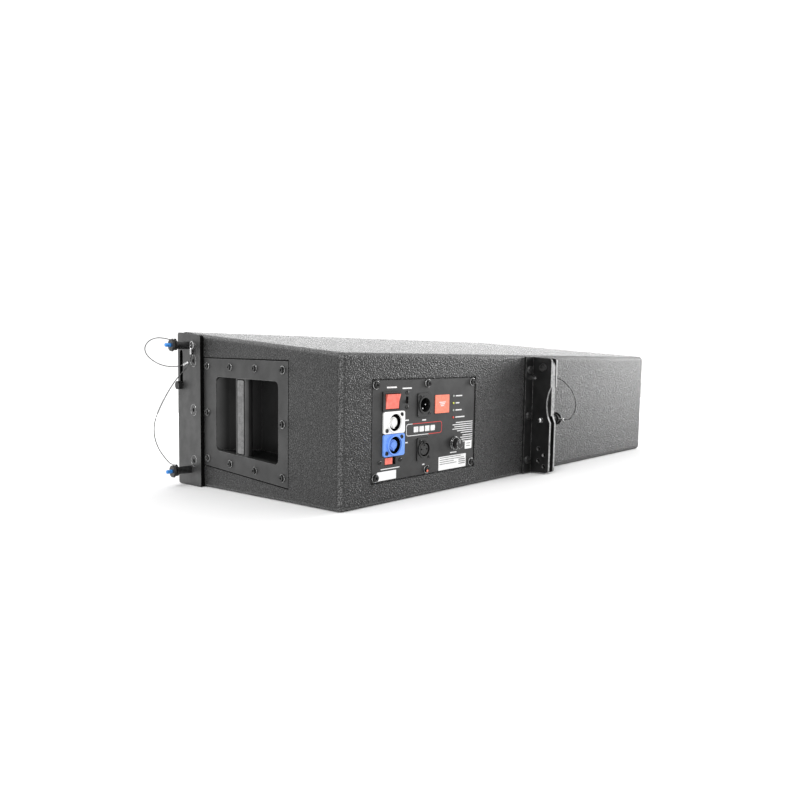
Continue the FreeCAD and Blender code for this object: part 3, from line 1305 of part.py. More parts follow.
# ------------------------------------------------------------------------------- assembly
def build():
    screws, bolts = panel_screws(), rigging_bolts()
    grille_bolts, driver_bolts = grille_screws(), driver_screws()
    node("cabinet_shell", cabinet_shell(bolts, screws))
    node("front_baffle", front_baffle(grille_bolts, driver_bolts))
    node("internal_braces", internal_braces())
    node("front_grille", front_grille(grille_bolts))
    node("grille_foam", grille_foam(grille_bolts))
    node("woofer_baskets", woofer_baskets(driver_bolts))
    node("woofer_magnets", woofer_magnets())
    node("waveguide_horn", waveguide_horn(driver_bolts))
    node("compression_driver", compression_driver())
    rings = lanyard_rings() + [rear_ring()]
    for name, side in SIDES.items():
        node(f"woofer_cone_{name}", woofer_cone(name, side))
        node(f"woofer_surround_{name}", woofer_surround(name, side))
        node(f"handle_plate_{name}", handle_plate(name, side, screws))
        node(f"handle_bar_{name}", handle_bar(name, side))
        node(f"rigging_plate_{name}", rigging_plate(name, side, bolts))
        node(f"link_bar_{name}", link_bar(name, side))
        for level, height, route in (("upper", "pin_top", UPPER_ROUTE),
                                     ("lower", "pin_bottom", LOWER_ROUTE)):
            title = f"{level}_{name}"
            centre = front_pin_centre(side, height)
            node(f"pin_{title}", ball_pin(f"pin_{title}", out(side), centre,
                                          "plate_sheet + pin_depth", "-y",
                                          front_eye(side, height)))
            node(f"button_{title}", pin_button(f"button_{title}", out(side), centre))
            node(f"lanyard_{title}", wire_tube(f"lanyard_{title}", mirrored(route, side)))
    node("lanyard_rings", group("lanyard_rings", rings))
    node("rear_bracket", rear_bracket())
    node("rear_bracket_bolts", rear_bracket_bolts())
    node("rear_link_bar", rear_link_bar())
    rear = rear_pin_centre()
    node("pin_rear", ball_pin("pin_rear", "-x", rear, "2 * (cheek_inner + cheek_sheet) + 4",
                              "+y", rear_eye()))
    node("button_rear", pin_button("button_rear", "-x", rear))
    node("lanyard_rear", wire_tube("lanyard_rear", REAR_ROUTE))
    node("amp_panel", amp_panel(screws))
    node("amp_chassis", amp_chassis())
    node("amp_board", amp_board())
    node("power_switch_frame", power_switch_frame())
    node("power_rocker", power_rocker())
    node("power_outlet", mains_socket("power_outlet", "mains_out_z", "mains_collar"))
    node("power_inlet", mains_socket("power_inlet", "mains_in_z", "mains_collar"))
    node("signal_out_socket", signal_out_socket())
    node("signal_in_socket", signal_in_socket())
    node("signal_latch", signal_latch())
    node("control_bodies", group("control_bodies", [lift_switch(), volume_control()]))
    node("lift_lever", lift_lever())
    node("volume_knob", volume_knob())
    node("voltage_selector", voltage_selector())
    node("voltage_slider", voltage_slider())
    node("status_lamps", status_lamps())
    node("panel_screws", screws)
    node("rigging_bolts", bolts)
    node("grille_screws", grille_bolts)
    node("driver_screws", driver_bolts)


def check_and_write():
    """Refuse any failed feature or bad solid, then write one STEP file for each sub-part."""
    doc.recompute()
    failed = [o.Name for o in doc.Objects if {"Invalid", "Error"} & set(o.State)]
    if failed:
        raise RuntimeError(f"failed features: {failed}")
    for item in NODES:
        if item.Shape.isNull() or not item.Shape.isValid() or not item.Shape.Solids:
            raise RuntimeError(f"{item.Label}: not a valid solid")
    os.makedirs("parts", exist_ok=True)
    for item in NODES:
        item.Shape.exportStep(f"parts/{item.Label}.step")
    print(f"{len(NODES)} sub-parts written")


build()
check_and_write()
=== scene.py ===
"""The looks of the line array speaker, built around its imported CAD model.

Places are given in millimetres in the cabinet's own frame: X across, Y from the front face to
the rear, Z up from the middle plane. row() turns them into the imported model's frame, in metres.
"""
import math

import bmesh
import bpy
from mathutils import Matrix, Vector, noise


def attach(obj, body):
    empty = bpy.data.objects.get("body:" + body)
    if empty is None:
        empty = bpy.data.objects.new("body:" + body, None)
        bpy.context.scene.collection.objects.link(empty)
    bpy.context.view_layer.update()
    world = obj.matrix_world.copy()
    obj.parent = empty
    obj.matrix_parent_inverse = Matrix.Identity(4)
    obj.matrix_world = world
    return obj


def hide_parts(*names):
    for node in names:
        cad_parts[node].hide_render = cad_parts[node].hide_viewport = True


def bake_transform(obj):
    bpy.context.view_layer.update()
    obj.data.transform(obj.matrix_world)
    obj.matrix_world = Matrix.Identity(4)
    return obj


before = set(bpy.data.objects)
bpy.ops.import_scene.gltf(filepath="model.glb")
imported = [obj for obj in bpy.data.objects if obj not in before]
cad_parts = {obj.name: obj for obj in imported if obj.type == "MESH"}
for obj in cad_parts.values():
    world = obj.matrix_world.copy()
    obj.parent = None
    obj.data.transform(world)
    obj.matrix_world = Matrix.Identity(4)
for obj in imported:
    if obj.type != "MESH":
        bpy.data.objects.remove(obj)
for spare in ("Cube", "Light", "Camera"):
    if spare in bpy.data.objects:
        bpy.data.objects.remove(bpy.data.objects[spare])
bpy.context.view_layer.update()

# ------------------------------------------------------------------------------ the frame
WEDGE_TILT = math.radians(4.045890)
ORIGIN_SHIFT = Vector((0, -196.763, 123.691))
PANEL_FACE = 409
END_FACE = 400
SIDES = {"right": 1, "left": -1}


def turned(x, y, z):
    """A direction of the cabinet's frame, tipped onto its flat underside."""
    cos, sin = math.cos(WEDGE_TILT), math.sin(WEDGE_TILT)
    return Vector((x, y * cos + z * sin, -y * sin + z * cos))


def row(x, y, z):
    """A place in the cabinet, in millimetres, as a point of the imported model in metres."""
    return (turned(x, y, z) + ORIGIN_SHIFT) / 1000


# ----------------------------------------------------------------------------- the camera
def add_camera():
    """A low camera off the rear right corner, placed in the cabinet's frame."""
    data = bpy.data.cameras.new("camera")
    data.lens = 27.82
    data.sensor_width = 36
    data.clip_end = 100
    camera = bpy.data.objects.new("camera", data)
    bpy.context.scene.collection.objects.link(camera)
    right = turned(-0.71305, 0.70093, 0.01605).normalized()
    back = turned(0.69985, 0.71021, 0.07626).normalized()
    up = back.cross(right).normalized()
    place = row(853.92, 969.24, 95.84)
    camera.matrix_world = Matrix([
        (right[i], up[i], back[i], place[i]) for i in range(3)] + [(0, 0, 0, 1)])
    bpy.context.scene.camera = camera


add_camera()


# ------------------------------------------------------------------------------ materials
class Finish:
    """A procedural material, built up from one shader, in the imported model's coordinates."""

    def __init__(self, name, colour, rough, metallic=0.0, specular=0.5):
        self.material = bpy.data.materials.new(name)
        self.material.use_nodes = True
        self.tree = self.material.node_tree
        self.shader = self.tree.nodes["Principled BSDF"]
        self.shader.inputs["Base Color"].default_value = (*colour, 1)
        self.shader.inputs["Roughness"].default_value = rough
        self.shader.inputs["Metallic"].default_value = metallic
        self.shader.inputs["Specular IOR Level"].default_value = specular
        self.place = self.node("ShaderNodeTexCoord").outputs["Object"]

    def node(self, kind, **settings):
        made = self.tree.nodes.new(kind)
        for key, value in settings.items():
            setattr(made, key, value)
        return made

    def link(self, start, end):
        self.tree.links.new(start, end)

    def noise(self, size, detail=3.0, stretch=None):
        """Soft noise whose lumps are about size metres across."""
        made = self.node("ShaderNodeTexNoise")
        made.inputs["Scale"].default_value = 1 / size
        made.inputs["Detail"].default_value = detail
        place = self.place
        if stretch:
            mapping = self.node("ShaderNodeMapping")
            mapping.inputs["Scale"].default_value = stretch
            self.link(place, mapping.inputs["Vector"])
            place = mapping.outputs["Vector"]
        self.link(place, made.inputs["Vector"])
        return made.outputs["Fac"]

    def span(self, value, low, high, start=0.0, end=1.0):
        """value brought from low..high to start..end, held at both ends."""
        made = self.node("ShaderNodeMapRange")
        for key, number in (("From Min", low), ("From Max", high),
                            ("To Min", start), ("To Max", end)):
            made.inputs[key].default_value = number
        self.link(value, made.inputs["Value"])
        return made.outputs["Result"]

    def times(self, first, second):
        made = self.node("ShaderNodeMath", operation="MULTIPLY")
        self.link(first, made.inputs[0])
        self.link(second, made.inputs[1])
        return made.outputs["Value"]

    def blend_into(self, socket, mask, start, end):
        """Sets a shader socket to a mix of start and end, which may be values or sockets."""
        kind = "RGBA" if socket == "Base Color" else "FLOAT"
        made = self.node("ShaderNodeMix", data_type=kind)
        slots = [i for i in made.inputs if i.enabled]
        for slot, value in zip(slots[1:], (start, end)):
            if isinstance(value, bpy.types.NodeSocket):
                self.link(value, slot)
            else:
                slot.default_value = (*value, 1) if kind == "RGBA" else value
        self.link(mask, slots[0])
        result = next(o for o in made.outputs if o.enabled)
        self.link(result, self.shader.inputs[socket])
        return result

    def current(self, socket):
        """What feeds a shader socket now: its link, or its plain value."""
        wired = self.shader.inputs[socket].links
        if wired:
            return wired[0].from_socket
        value = self.shader.inputs[socket].default_value
        return tuple(value)[:3] if socket == "Base Color" else value

    def mottle(self, other, size, low=0.4, high=0.6, detail=3.0, stretch=None):
        """Patches of another colour."""
        mask = self.span(self.noise(size, detail, stretch), low, high)
        self.blend_into("Base Color", mask, self.current("Base Color"), other)
        return self

    def polish(self, low, high, size, detail=2.0, stretch=None):
        """Roughness that wanders between low and high."""
        mask = self.span(self.noise(size, detail, stretch), 0.35, 0.65)
        self.blend_into("Roughness", mask, low, high)
        return self

    def relief(self, size, height, detail=2.0, low=0.0, high=1.0, stretch=None, value=None):
        """A bump of lumps size metres across and height metres high, on top of any before."""
        bump = self.node("ShaderNodeBump")
        bump.inputs["Distance"].default_value = height
        lumps = self.noise(size, detail, stretch) if value is None else value
        self.link(self.span(lumps, low, high), bump.inputs["Height"])
        before = self.shader.inputs["Normal"].links
        if before:
            self.link(before[0].from_socket, bump.inputs["Normal"])
        self.link(bump.outputs["Normal"], self.shader.inputs["Normal"])
        return self

    def rubbed_and_highlit_edges(self, colour, rough, reach, amount=1.0):
        """Edges recoloured for rubbing and a painted highlight, where rounded and true normals
        part.
        """
        bevel = self.node("ShaderNodeBevel", samples=4)
        bevel.inputs["Radius"].default_value = reach
        geometry = self.node("ShaderNodeNewGeometry")
        dot = self.node("ShaderNodeVectorMath", operation="DOT_PRODUCT")
        self.link(bevel.outputs["Normal"], dot.inputs[0])
        self.link(geometry.outputs["True Normal"], dot.inputs[1])
        edge = self.span(dot.outputs["Value"], 0.985, 0.86)
        patchy = self.span(self.noise(0.006, 4.0), 0.38, 0.6, 0.15, amount)
        mask = self.times(edge, patchy)
        # paler edge colour: rubbed wear and a painted highlight
        self.blend_into("Base Color", mask, self.current("Base Color"), colour)
        self.blend_into("Roughness", mask, self.current("Roughness"), rough)
        return self

    def pebbles(self, size):
        """Distance from the nearest of many scattered points, about size metres apart."""
        made = self.node("ShaderNodeTexVoronoi", feature="SMOOTH_F1")
        made.inputs["Scale"].default_value = 1 / size
        made.inputs["Smoothness"].default_value = 0.35
        self.link(self.place, made.inputs["Vector"])
        return made.outputs["Distance"]

    def rubbed_and_highlit_rounds(self, colour, size):
        """Pale specks, rubbed paint and a painted highlight, where the surface looks between two
        axes.
        """
        normal = self.node("ShaderNodeNewGeometry").outputs["True Normal"]
        square = self.node("ShaderNodeVectorMath", operation="MULTIPLY")
        self.link(normal, square.inputs[0])
        self.link(normal, square.inputs[1])
        length = self.node("ShaderNodeVectorMath", operation="LENGTH")
        self.link(square.outputs["Vector"], length.inputs[0])
        rounds = self.span(length.outputs["Value"], 0.93, 0.78)
        mask = self.times(rounds, self.span(self.noise(size, 1.0), 0.5, 0.6))
        self.blend_into("Base Color", mask, self.current("Base Color"), colour)
        return self

    def highlit_rear_faces(self, colour, rear):
        """A painted highlight: another colour on the faces that look rearwards from behind a
        place.
        """
        look = self.node("ShaderNodeSeparateXYZ")
        self.link(self.node("ShaderNodeNewGeometry").outputs["True Normal"], look.inputs[0])
        where = self.node("ShaderNodeSeparateXYZ")
        self.link(self.place, where.inputs[0])
        mask = self.times(self.span(look.outputs["Y"], 0.75, 0.95),
                          self.span(where.outputs["Y"], rear, rear + 0.001))
        patchy = self.times(mask, self.span(self.noise(0.004, 3.0), 0.3, 0.55, 0.35, 1.0))
        self.blend_into("Base Color", patchy, self.current("Base Color"), colour)

    def paint_shade_inside(self, outer, inner, colour):
        """Painted shade, darker from one distance off the middle of the width to a nearer one."""
        where = self.node("ShaderNodeSeparateXYZ")
        self.link(self.place, where.inputs[0])
        reach = self.node("ShaderNodeMath", operation="ABSOLUTE")
        self.link(where.outputs["X"], reach.inputs[0])
        mask = self.span(reach.outputs["Value"], outer, inner)
        self.blend_into("Base Color", mask, self.current("Base Color"), colour)
        return mask

    def faces(self, axis, low, high, colour, rough):
        """Another colour on the faces that look along an axis of the model, either way."""
        geometry = self.node("ShaderNodeNewGeometry")
        split = self.node("ShaderNodeSeparateXYZ")
        self.link(geometry.outputs["True Normal"], split.inputs[0])
        size = self.node("ShaderNodeMath", operation="ABSOLUTE")
        self.link(split.outputs[axis], size.inputs[0])
        mask = self.span(size.outputs["Value"], low, high)
        self.blend_into("Base Color", mask, self.current("Base Color"), colour)
        self.blend_into("Roughness", mask, self.current("Roughness"), rough)
        return mask


def grey(value):
    """A neutral colour."""
    return (value, value, value)


def textured_paint():
    """The thick, pebbled coating sprayed on the cabinet, with pale specks painted as glints, and
    paler along its round edges from rubbing and a painted highlight.
    """
    made = Finish("textured_paint", grey(0.008), 0.36, specular=0.38)
    made.mottle(grey(0.03), 0.0016, 0.48, 0.54, 1.0)
    # pale specks painted as glints off the pebbled coating
    made.mottle(grey(0.08), 0.0015, 0.61, 0.66, 1.0)
    # pale specks on the round edges: rubbed paint and a painted highlight
    made.rubbed_and_highlit_rounds(grey(0.15), 0.0013)
    made.polish(0.26, 0.46, 0.0026, 1.0)
    made.relief(0.0026, 0.0008, value=made.pebbles(0.002), low=0.75, high=0.0)
    made.relief(0.0012, 0.0002, 1.0)
    return made.material


def handle_paint():
    """Satin paint on the handles, with painted shade inside the pocket, and paler along its edges
    from rubbing and a painted highlight.
    """
    made = Finish("handle_paint", grey(0.021), 0.48)
    made.mottle(grey(0.029), 0.02)
    made.polish(0.42, 0.54, 0.03)
    made.relief(0.0008, 0.00005)
    # painted shade inside the handle pocket: a darker colour, and dark reflections from the
    # metallic mix
    inside = made.paint_shade_inside(0.3968, 0.386, grey(0.012))
    made.blend_into("Metallic", inside, 0.0, 0.8)
    return made.rubbed_and_highlit_edges(grey(0.16), 0.36, 0.0014, 0.8).material


def plate_paint():
    """Satin paint on the flat faces of a plate, with painted shade on its cut edges, and edges
    paler from rubbing and a painted highlight.
    """
    made = Finish("plate_paint", grey(0.025), 0.44)
    made.mottle(grey(0.034), 0.03)
    made.polish(0.38, 0.5, 0.02)
    made.relief(0.0006, 0.00003)
    # painted shade on the cut edges: near black, with dark reflections
    edge = made.faces("X", 0.9, 0.6, grey(0.004), 0.6)
    made.blend_into("Metallic", edge, 0.0, 0.9)
    return made.rubbed_and_highlit_edges(grey(0.12), 0.38, 0.0007, 0.7).material


def black_steel():
    """Black plating, with a painted highlight on the rear-facing cut edges of the plates that
    stand off the rear, and edges paler from rubbing and a painted highlight.
    """
    made = Finish("black_steel", grey(0.005), 0.42, specular=0.35)
    made.mottle(grey(0.009), 0.012)
    made.polish(0.36, 0.5, 0.02)
    made.relief(0.0007, 0.00003)
    # painted highlight on the rear-facing cut edges of the bracket plates
    made.highlit_rear_faces(grey(0.34), 0.232)
    return made.rubbed_and_highlit_edges(grey(0.3), 0.3, 0.0008).material


def simple(name, colour, rough, other, size, metallic=0.0, height=0.00003, stretch=None,
           specular=0.5):
    """A finish with patches of a second colour, wandering gloss and a fine relief."""
    made = Finish(name, colour, rough, metallic, specular)
    made.mottle(other, size, stretch=stretch)
    made.polish(rough * 0.85, min(1, rough * 1.18), size * 3, stretch=stretch)
    made.relief(size * 0.4, height, stretch=stretch)
    return made.material


def foam():
    """Open-celled foam."""
    made = Finish("foam", grey(0.012), 0.95)
    made.mottle(grey(0.02), 0.0016)
    made.shader.inputs["Sheen Weight"].default_value = 0.2
    made.relief(0.0014, 0.0006, 1.0, 0.4, 0.6)
    return made.material


def rubber():
    """Dull rubber with a fine grain."""
    made = Finish("rubber", grey(0.016), 0.6)
    made.mottle(grey(0.022), 0.01)
    made.relief(0.001, 0.00004)
    return made.material


def cone_paper():
    """Pressed pulp with pale fibres."""
    made = Finish("cone_paper", grey(0.03), 0.75)
    made.mottle(grey(0.045), 0.003, detail=6.0)
    made.relief(0.0012, 0.00015, 5.0)
    return made.material


def lamp_glass(name, colour):
    """A small tinted lens, clear enough to glow at its edge."""
    made = Finish(name, colour, 0.12)
    made.mottle(tuple(c * 0.7 for c in colour), 0.0009)
    made.polish(0.08, 0.2, 0.001)
    made.shader.inputs["Coat Weight"].default_value = 0.6
    return made.material


def print_ink(name, colour, patch):
    """Screen-printed ink or a paper label, faintly uneven."""
    made = Finish(name, colour, 0.55)
    made.mottle(patch, 0.0035)
    made.polish(0.45, 0.62, 0.004)
    made.relief(0.0005, 0.00001)
    return made.material


FINISHES = {
    "textured_paint": textured_paint(),
    "baffle_paint": simple("baffle_paint", grey(0.012), 0.7, grey(0.018), 0.004),
    "plywood": simple("plywood", (0.42, 0.28, 0.15), 0.7, (0.3, 0.18, 0.09), 0.02,
                      stretch=(1, 6, 6)),
    "grille_steel": simple("grille_steel", grey(0.014), 0.5, grey(0.02), 0.003),
    "foam": foam(),
    "black_steel": black_steel(),
    "magnet": simple("magnet", grey(0.06), 0.5, grey(0.08), 0.006),
    "horn_plastic": simple("horn_plastic", grey(0.014), 0.45, grey(0.019), 0.006),
    "cone_paper": cone_paper(),
    "rubber": rubber(),
    "handle_paint": handle_paint(),
    "plate_paint": plate_paint(),
    "wire_rope": simple("wire_rope", grey(0.18), 0.38, grey(0.05), 0.004, 0.9),
    "bright_steel": simple("bright_steel", grey(0.72), 0.22, grey(0.5), 0.003, 1.0, 0.00001),
    "bolt_steel": simple("bolt_steel", grey(0.1), 0.36, grey(0.05), 0.004, 0.85, 0.00002),
    "screw_black": simple("screw_black", grey(0.07), 0.24, grey(0.02), 0.003, 0.85, 0.00002),
    "pin_steel": simple("pin_steel", grey(0.014), 0.34, grey(0.03), 0.004, 0.5),
    "button_blue": simple("button_blue", (0.06, 0.3, 0.78), 0.28, (0.04, 0.24, 0.66), 0.002,
                          0.3, 0.00001),
    "panel_paint": simple("panel_paint", grey(0.016), 0.5, grey(0.02), 0.008),
    "circuit_board": simple("circuit_board", (0.02, 0.16, 0.05), 0.4, (0.03, 0.22, 0.08), 0.003),
    "black_plastic": simple("black_plastic", grey(0.008), 0.34, grey(0.012), 0.004),
    "rocker_red": simple("rocker_red", (0.8, 0.15, 0.11), 0.3, (0.86, 0.2, 0.15), 0.006),
    "socket_white": simple("socket_white", grey(0.88), 0.4, (0.82, 0.82, 0.8), 0.008),
    "socket_blue": simple("socket_blue", (0.13, 0.29, 0.78), 0.38, (0.16, 0.34, 0.84), 0.008),
    "lamp": lamp_glass("lamp", (0.5, 0.52, 0.48)),
}
WHITE_INK = print_ink("white_ink", grey(0.78), grey(0.66))
RED_INK = print_ink("red_ink", (0.62, 0.04, 0.03), (0.5, 0.03, 0.03))
GREY_INK = print_ink("grey_ink", grey(0.24), grey(0.16))
BADGE_RED = print_ink("badge_red", (0.9, 0.24, 0.15), (0.84, 0.19, 0.12))
LABEL_PAPER = print_ink("label_paper", grey(0.84), grey(0.78))
# near-black and hardly reflecting: painted shade in gaps, bores and recesses
PAINTED_SHADE_BLACK = simple("painted_shade_black", grey(0.002), 0.7, grey(0.004), 0.002, specular=0.05)
STRIP_GREY = simple("strip_grey", grey(0.19), 0.5, grey(0.13), 0.006)
RIM_STEEL = simple("rim_steel", grey(0.5), 0.2, grey(0.12), 0.0035, 0.95, 0.00001)


def paint_cad_nodes():
    """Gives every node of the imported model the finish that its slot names."""
    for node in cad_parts.values():
        for i, old in enumerate(list(node.data.materials)):
            node.data.materials[i] = FINISHES[old.name.split(".")[0]]


paint_cad_nodes()


# ------------------------------------------------------------------------------ mesh tools
class Shape:
    """Points and faces in the cabinet's frame, made into one piece at the end."""

    def __init__(self):
        self.points = []
        self.faces = []

    def loops(self, rings, capped=False):
        """Skins a list of rings, each with the same number of points, with quads."""
        base = len(self.points)
        count = len(rings[0])
        for ring in rings:
            self.points += [tuple(p) for p in ring]
        for i in range(len(rings) - 1):
            for j in range(count):
                k = (j + 1) % count
                low, high = base + i * count, base + (i + 1) * count
                self.faces.append((low + j, low + k, high + k, high + j))
        if capped:
            last = base + (len(rings) - 1) * count
            self.faces.append(tuple(base + j for j in reversed(range(count))))
            self.faces.append(tuple(last + j for j in range(count)))

    def piece(self, name, material, body="cabinet", slot=None, replaces=(), smooth=False,
              weld=False):
        mesh = bpy.data.meshes.new(name)
        mesh.from_pydata([row(*p) for p in self.points], [], self.faces)
        mesh.materials.append(material)
        made = bpy.data.objects.new(name, mesh)
        bpy.context.scene.collection.objects.link(made)
        fix_normals(mesh, weld)
        if smooth:
            mesh.shade_smooth()
        if body:
            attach(made, body)
        if replaces:
            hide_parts(*replaces)
        return made


def fix_normals(mesh, weld):
    """Turns every face outwards, after joining the points that coincide if weld is true."""
    work = bmesh.new()
    work.from_mesh(mesh)
    if weld:
        bmesh.ops.remove_doubles(work, verts=work.verts, dist=1e-6)
    bmesh.ops.recalc_face_normals(work, faces=work.faces)
    work.to_mesh(mesh)
    work.free()


def circle(radius, steps):
    """Points evenly spaced round a circle."""
    angles = [2 * math.pi * i / steps for i in range(steps)]
    return [(radius * math.cos(angle), radius * math.sin(angle)) for angle in angles]


def rounded(half_u, half_v, radius, steps=4):
    """The outline of a rounded rectangle about the origin."""
    points = []
    for quarter, (su, sv) in enumerate(((1, 1), (-1, 1), (-1, -1), (1, -1))):
        for i in range(steps + 1):
            angle = math.pi / 2 * (quarter + i / steps)
            points.append((su * (half_u - radius) + radius * math.cos(angle),
                           sv * (half_v - radius) + radius * math.sin(angle)))
    return points


def plaque(shape, place, half_u, half_v, radius, height, ease, steps=4):
    """A thin raised plate with rounded corners and an eased top edge, standing on a face."""
    def ring(inset, lift):
        outline = rounded(half_u - inset, half_v - inset, max(radius - inset, 0.02), steps)
        return [place(p, lift) for p in outline]

    shape.loops([ring(0, 0), ring(0, height - ease), ring(ease, height)], capped=True)


def rear_place(u, z, base=PANEL_FACE):
    """Places a flat outline on the rear: u is the distance in from the right end."""
    return lambda point, lift: (END_FACE - u - point[0], base + lift, z + point[1])


def end_place(side, y, z, base=END_FACE):
    """Places a flat outline on an end face."""
    return lambda point, lift: (side * (base + lift), y + point[0], z + point[1])


def frame_basis(direction):
    """Two directions square to one, for turning a profile about it."""
    direction = Vector(direction)
    start = Vector((0, 0, 1)) if abs(direction.z) < 0.9 else Vector((0, 1, 0))
    first = (start - direction * start.dot(direction)).normalized()
    return direction, first, direction.cross(first)


def lathe(shape, centre, direction, profile, steps=32):
    """Turns a profile of (radius, distance) points about a line. Its ends lie on the line."""
    along, first, second = frame_basis(direction)
    centre = Vector(centre)
    shape.loops([[centre + along * distance + first * u + second * v
                  for u, v in circle(max(radius, 0.01), steps)]
                 for radius, distance in profile], capped=True)


# ------------------------------------------------------------------------------- lanyards
WIRE_RADIUS = 0.75
WIRE_STRANDS = 6
STRAND_PITCH = 9.0
UPPER_ROUTE = [
    (408, 51, 88), (408, 51, 80.5), (413.5, 46, 73), (423, 35, 68.5), (436, 21, 68.5),
    (448, 8, 75), (457, -3, 87), (458.5, -4, 99), (453, 1, 109), (444, 9, 113.5),
    (434, 15.5, 112.5), (428.8, 22.5, 110.4), (428.8, 31, 110.4),
]
LOWER_ROUTE = [
    (410.6, 55, 88), (410.6, 55, 78), (416.5, 48, 65), (426, 36, 49), (435, 25, 28),
    (443, 14, 4), (449, 6, -20), (449, 5, -42), (444, 7.5, -61), (436, 11.5, -76),
    (429.5, 17.5, -86), (428.8, 24, -86.6), (428.8, 31, -86.6),
]
REAR_ROUTE = [
    (-11, 439, 60), (-11, 446, 60), (-17, 453, 56), (-27, 459, 46), (-34.5, 463.5, 33),
    (-39, 465, 17), (-38.5, 462.5, 3), (-34, 457.5, -6.5), (-31.8, 452, -7.5),
    (-31.8, 446.7, -7.5),
]


def wire_line(route):
    """Points along a lanyard's smooth line, whose control points are the route's."""
    curve = bpy.data.curves.new("wire_line", "CURVE")
    curve.dimensions = "3D"
    curve.resolution_u = 24
    spline = curve.splines.new("NURBS")
    spline.points.add(len(route) - 1)
    for control, place in zip(spline.points, route):
        control.co = (*row(*place), 1)
    spline.use_endpoint_u = True
    spline.order_u = 3
    holder = bpy.data.objects.new("wire_line", curve)
    line = bpy.data.meshes.new_from_object(holder)
    points = [v.co.copy() for v in line.vertices]
    bpy.data.objects.remove(holder)
    bpy.data.curves.remove(curve)
    bpy.data.meshes.remove(line)
    return points


def rope_mesh(name, line):
    """A laid wire rope: a tube whose six-lobed section turns along the line."""
    sides = WIRE_STRANDS * 4
    radius = WIRE_RADIUS / 1000
    pitch = STRAND_PITCH / 1000
    tangents = [(line[min(i + 1, len(line) - 1)] - line[max(i - 1, 0)]).normalized()
                for i in range(len(line))]
    normal = frame_basis(tangents[0])[1]
    points, faces, run = [], [], 0.0
    for i, (place, tangent) in enumerate(zip(line, tangents)):
        if i:
            run += (place - line[i - 1]).length
        normal = (normal - tangent * normal.dot(tangent)).normalized()
        side = tangent.cross(normal)
        for j in range(sides):
            angle = 2 * math.pi * j / sides
            lobe = abs(math.cos(WIRE_STRANDS / 2 * angle))
            reach = radius * (0.8 + 0.2 * math.sqrt(lobe))
            turn = angle + 2 * math.pi * run / pitch
            points.append(place + (normal * math.cos(turn) + side * math.sin(turn)) * reach)
    for i in range(len(line) - 1):
        for j in range(sides):
            k = (j + 1) % sides
            faces.append((i * sides + j, i * sides + k, (i + 1) * sides + k, (i + 1) * sides + j))
    last = (len(line) - 1) * sides
    faces.append(tuple(reversed(range(sides))))
    faces.append(tuple(last + j for j in range(sides)))
    mesh = bpy.data.meshes.new(name)
    mesh.from_pydata(points, [], faces)
    mesh.materials.append(FINISHES["wire_rope"])
    mesh.shade_smooth()
    made = bpy.data.objects.new(name, mesh)
    bpy.context.scene.collection.objects.link(made)
    return made


def crimp(name, body, start, direction, width=1.0):
    """A crimped sleeve on a wire, at a share of its full width."""
    shape = Shape()
    profile = [(1.0, -1.2), (1.9, -0.8), (2.1, 0.2), (2.1, 1.6), (1.8, 2.1), (1.8, 2.9),
               (2.1, 3.4), (2.1, 5.0), (1.8, 5.5), (1.8, 6.3), (2.1, 6.8), (2.1, 8.0), (1.75, 8.6)]
    lathe(shape, start, direction, [(radius * width, reach) for radius, reach in profile], 20)
    return shape.piece(name, FINISHES["bright_steel"], body, "bright_steel", smooth=True)


def lanyard(name, route, length, pin, sleeve_direction, start_height, end_height, others=()):
    """One lanyard from its ring to its pin: a wire rope along the route, and a crimped sleeve held
    to the pin.
    """
    line = wire_line(route)
    wire = rope_mesh(f"wire_{name}", line)
    sleeve = crimp(f"wire_sleeve_{name}", pin, route[-1], sleeve_direction)
    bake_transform(wire)
    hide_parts(f"lanyard_{name}")


def add_lanyards():
    """Two lanyards on each end and one on the rear bracket, with their crimped sleeves."""
    for side_name, side in SIDES.items():
        for level, route, length, heights in (
                ("upper", UPPER_ROUTE, 0.1538, (89, 110)),
                ("lower", LOWER_ROUTE, 0.2118, (78, -84))):
            places = [(side * x, y, z) for x, y, z in route]
            name = f"{level}_{side_name}"
            top = Vector(places[0]) + Vector((0, 0, 8.4))
            others = [crimp(f"wire_ferrule_{name}", "cabinet", top, (0, 0, -1), 0.92)]
            if level == "upper":
                run = (Vector(places[3]) - Vector(places[1])).normalized()
                start = Vector(places[2]) + Vector((side * 0.5, -0.8, 0.4)) - run * 4
                others.append(crimp(f"wire_stop_{side_name}", "cabinet", start, run))
            lanyard(name, places, length, f"pin_{name}", (0, 1, 0), *heights, others)
    lanyard("rear", REAR_ROUTE, 0.1005, "pin_rear", (0, -1, 0), 56, -6.5)


add_lanyards()


# --------------------------------------------------------------------------- pin details
def pin_tip(name, body, centre, direction):
    """The bright nose of a ball-lock pin and its four locking balls."""
    shape = Shape()
    profile = [(2.2, 3.6), (3.4, 2.9), (4.02, 1.7), (4.05, -0.4), (3.9, -0.5)]
    lathe(shape, centre, direction, profile)
    along, first, second = frame_basis(direction)
    for i in range(4):
        angle = math.pi / 4 + math.pi / 2 * i
        out = first * math.cos(angle) + second * math.sin(angle)
        ball = Vector(centre) + out * 3.5 - along * 1.6
        lathe(shape, ball, out, [(0.05, 1.1), (0.6, 0.95), (1.0, 0.5), (1.1, 0.0)], 12)
    return shape.piece(name, FINISHES["bright_steel"], body, "bright_steel", smooth=True)


def add_pin_tips():
    """The noses of the five ball-lock pins."""
    for side_name, side in SIDES.items():
        for level, height in (("upper", 102), ("lower", -95)):
            pin_tip(f"pin_nose_{level}_{side_name}", f"pin_{level}_{side_name}",
                    (side * 389.4, 40, height), (-side, 0, 0))
    pin_tip("pin_nose_rear", "pin_rear", (10.6, 430.7, -7.5), (1, 0, 0))


add_pin_tips()


